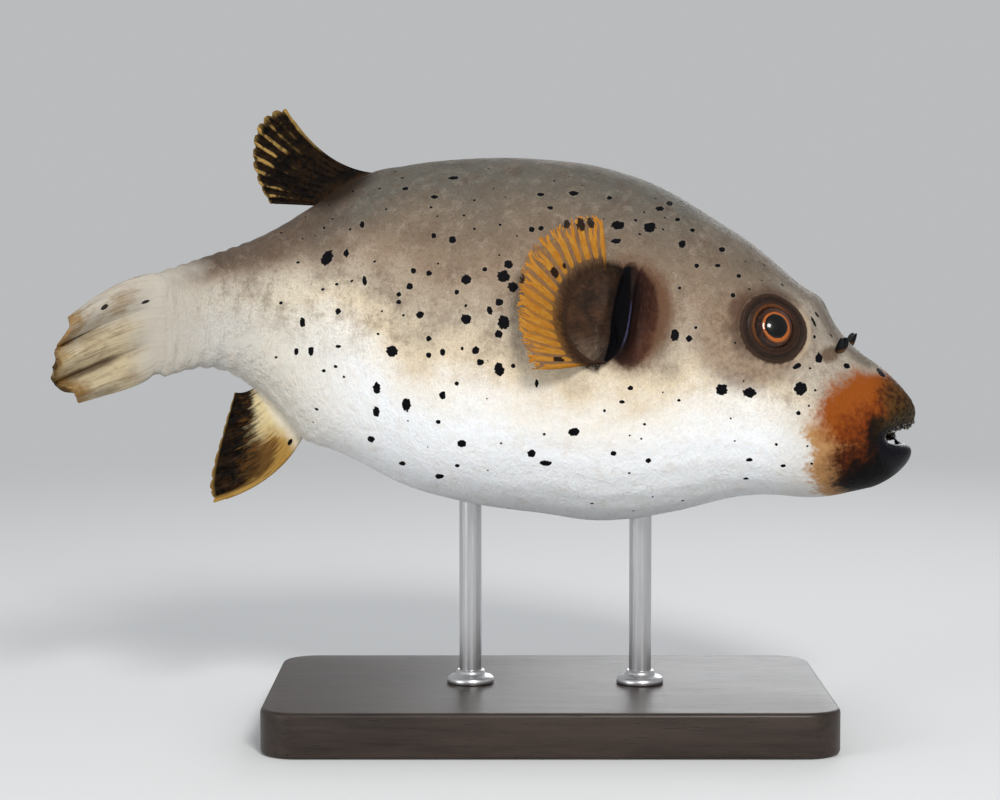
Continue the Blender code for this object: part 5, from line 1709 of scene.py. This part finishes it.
def make_stage(look):
    """Pale floor that fades into a pale world, soft lights and the camera."""
    shade = tuple(look.stage_color)
    world = bpy.data.worlds.new("studio")
    world.use_nodes = True
    background = world.node_tree.nodes["Background"]
    background.inputs["Color"].default_value = (*shade, 1.0)
    background.inputs["Strength"].default_value = look.world_light
    bpy.context.scene.world = world
    bpy.context.scene.view_settings.view_transform = "Standard"
    mesh = bpy.data.meshes.new("floor")
    work = bmesh.new()
    bmesh.ops.create_circle(work, cap_ends=True, radius=12.0, segments=96)
    work.to_mesh(mesh)
    work.free()
    floor = add_object("floor", mesh)
    material, t, shader = new_material("floor", {"Roughness": 0.8, "Specular IOR Level": 0.15})
    shader.inputs["Base Color"].default_value = (*shade, 1.0)
    away = t.length(t.here())
    glow = t.add("ShaderNodeEmission", {}, {"Color": shade, "Strength": look.world_light})
    blend = t.add("ShaderNodeMixShader", {}, {0: away.step(0.22, 0.85), 2: glow})
    node = blend.socket.node
    t.tree.links.new(shader.outputs["BSDF"], node.inputs[1])
    t.tree.links.new(blend.socket, t.tree.nodes["Material Output"].inputs["Surface"])
    mesh.materials.append(material)
    middle = (0.0, 0.0, 0.10)
    area_light("key", (0.30, -1.20, 0.82), middle, 0.34, look.key_light, (1.0, 0.98, 0.95))
    area_light("fill", (-1.20, -0.85, 0.45), middle, 0.80, look.key_light * 0.40,
               (0.96, 0.98, 1.0))
    area_light("back", (0.3, 1.3, 0.5), middle, 0.80, look.key_light * 0.34, (0.96, 0.98, 1.0))
    camera = add_object("camera", bpy.data.cameras.new("camera"))
    camera.data.lens, camera.data.sensor_width = CAMERA_LENS, 36.0
    camera.data.clip_start = 0.01
    rise = math.radians(CAMERA_RISE)
    aim = Vector((0.0, math.cos(rise), -math.sin(rise)))
    camera.location = (Vector(CAMERA_TARGET) - aim * CAMERA_DISTANCE) * MM
    camera.rotation_euler = aim.to_track_quat("-Z", "Y").to_euler()
    bpy.context.scene.camera = camera


# ---- add-on: settings
def color_setting(name, about, default):
    return FloatVectorProperty(name=name, description=about, subtype="COLOR", size=3, min=0.0,
                               max=1.0, default=default)


def strength_setting(name, about, least, most):
    return FloatProperty(name=name, description=about, subtype="FACTOR", default=1.0, min=least,
                         max=most)


class PufferSkinLook(bpy.types.PropertyGroup):
    belly_color: color_setting("Belly", "Colour of the white belly", (0.83, 0.85, 0.87))
    flank_color: color_setting("Flank", "Colour of the middle of the flank", (0.43, 0.365, 0.28))
    # The back colour is partly the ridge's own colour, partly painted shade of the top.
    back_color: color_setting("Back", "Colour of the ridge of the back", (0.118, 0.112, 0.096))
    cheek_color: color_setting("Muzzle", "Orange of the muzzle", (0.150, 0.030, 0.004))
    texture: strength_setting("Texture", "Strength of the skin's fine wrinkles", 0.0, 3.0)


class PufferHeadLook(bpy.types.PropertyGroup):
    iris_color: color_setting("Iris", "Orange ring round the pupil", (0.30, 0.070, 0.009))
    nostril_thick: strength_setting("Nostril", "Thickness of the nostril flaps", 0.3, 2.0)
    papilla_size: strength_setting("Papillae", "Size of the knobs on the lips", 0.3, 2.0)


class PufferFinLook(bpy.types.PropertyGroup):
    ray_color: color_setting("Rays", "Yellow of the pectoral rays", (0.43, 0.205, 0.032))
    ray_width: strength_setting("Ray width", "Breadth of the fin rays", 0.4, 1.6)


class PufferStageLook(bpy.types.PropertyGroup):
    board_color: color_setting("Board", "Stain of the stand's board", (0.018, 0.012, 0.009))
    stage_color: color_setting("Stage", "Colour of the floor and the world", (0.72, 0.73, 0.74))
    world_light: FloatProperty(name="World light", description="Brightness of the world",
                               default=0.68, min=0.0, max=3.0)
    key_light: FloatProperty(name="Key light", description="Power of the key light",
                             default=15.0, min=0.0, max=100.0, subtype="POWER", unit="POWER")


GROUPS = {"puffer_skin_look": PufferSkinLook, "puffer_head_look": PufferHeadLook,
          "puffer_fin_look": PufferFinLook, "puffer_stage_look": PufferStageLook}


# ---- add-on: operators
class PUFFER_OT_skin(bpy.types.Operator):
    """Make the one skin over the head, trunk and tail stem"""
    bl_idname = "puffer.skin"
    bl_label = "Skin"

    def execute(self, context):
        make_skin(context.scene.puffer_skin_look)
        return {"FINISHED"}


class PUFFER_OT_eyes(bpy.types.Operator):
    """Make both eyeballs"""
    bl_idname = "puffer.eyes"
    bl_label = "Eyes"

    def execute(self, context):
        make_eyes(context.scene.puffer_head_look)
        return {"FINISHED"}


class PUFFER_OT_nostrils(bpy.types.Operator):
    """Make the two-lobed nostril flaps"""
    bl_idname = "puffer.nostrils"
    bl_label = "Nostrils"

    def execute(self, context):
        make_nostrils(context.scene.puffer_head_look)
        return {"FINISHED"}


class PUFFER_OT_mouth(bpy.types.Operator):
    """Make the tooth plates and the knobs on the lips"""
    bl_idname = "puffer.mouth"
    bl_label = "Mouth"

    def execute(self, context):
        make_beak()
        make_papillae(context.scene.puffer_head_look)
        return {"FINISHED"}


class PUFFER_OT_upright_fins(bpy.types.Operator):
    """Make the dorsal and anal fins"""
    bl_idname = "puffer.upright_fins"
    bl_label = "Dorsal and anal fins"

    def execute(self, context):
        make_upright_fins(context.scene.puffer_fin_look)
        return {"FINISHED"}


class PUFFER_OT_pectoral_fins(bpy.types.Operator):
    """Make both pectoral fins"""
    bl_idname = "puffer.pectoral_fins"
    bl_label = "Pectoral fins"

    def execute(self, context):
        make_pectorals(context.scene.puffer_fin_look)
        return {"FINISHED"}


class PUFFER_OT_tail_fin(bpy.types.Operator):
    """Make the pleated tail fin"""
    bl_idname = "puffer.tail_fin"
    bl_label = "Tail fin"

    def execute(self, context):
        make_caudal(context.scene.puffer_fin_look)
        return {"FINISHED"}


class PUFFER_OT_stand(bpy.types.Operator):
    """Finish the stand's board and rods"""
    bl_idname = "puffer.stand"
    bl_label = "Stand"

    def execute(self, context):
        finish_stand(context.scene.puffer_stage_look)
        return {"FINISHED"}


class PUFFER_OT_stage(bpy.types.Operator):
    """Make the floor, lights and camera"""
    bl_idname = "puffer.stage"
    bl_label = "Stage"

    def execute(self, context):
        make_stage(context.scene.puffer_stage_look)
        return {"FINISHED"}


OPERATORS = (PUFFER_OT_stage, PUFFER_OT_skin, PUFFER_OT_eyes, PUFFER_OT_nostrils,
             PUFFER_OT_mouth, PUFFER_OT_upright_fins, PUFFER_OT_pectoral_fins,
             PUFFER_OT_tail_fin, PUFFER_OT_stand)


class VIEW3D_PT_puffer(bpy.types.Panel):
    """Settings and makers of the puffer model"""
    bl_label = "Puffer"
    bl_space_type = "VIEW_3D"
    bl_region_type = "UI"
    bl_category = "Puffer"

    def draw(self, context):
        for name, group in GROUPS.items():
            box = self.layout.box()
            for key in group.__annotations__:
                box.prop(getattr(context.scene, name), key)
        for operator in OPERATORS:
            self.layout.operator(operator.bl_idname)


def register():
    for group in GROUPS.values():
        bpy.utils.register_class(group)
    for name, group in GROUPS.items():
        setattr(bpy.types.Scene, name, PointerProperty(type=group))
    for operator in OPERATORS:
        bpy.utils.register_class(operator)
    bpy.utils.register_class(VIEW3D_PT_puffer)


def unregister():
    bpy.utils.unregister_class(VIEW3D_PT_puffer)
    for operator in reversed(OPERATORS):
        bpy.utils.unregister_class(operator)
    for name, group in GROUPS.items():
        delattr(bpy.types.Scene, name)
        bpy.utils.unregister_class(group)


def main():
    register()
    for operator in OPERATORS:
        area, name = operator.bl_idname.split(".")
        getattr(getattr(bpy.ops, area), name)()


if __name__ == "__main__":
    main()
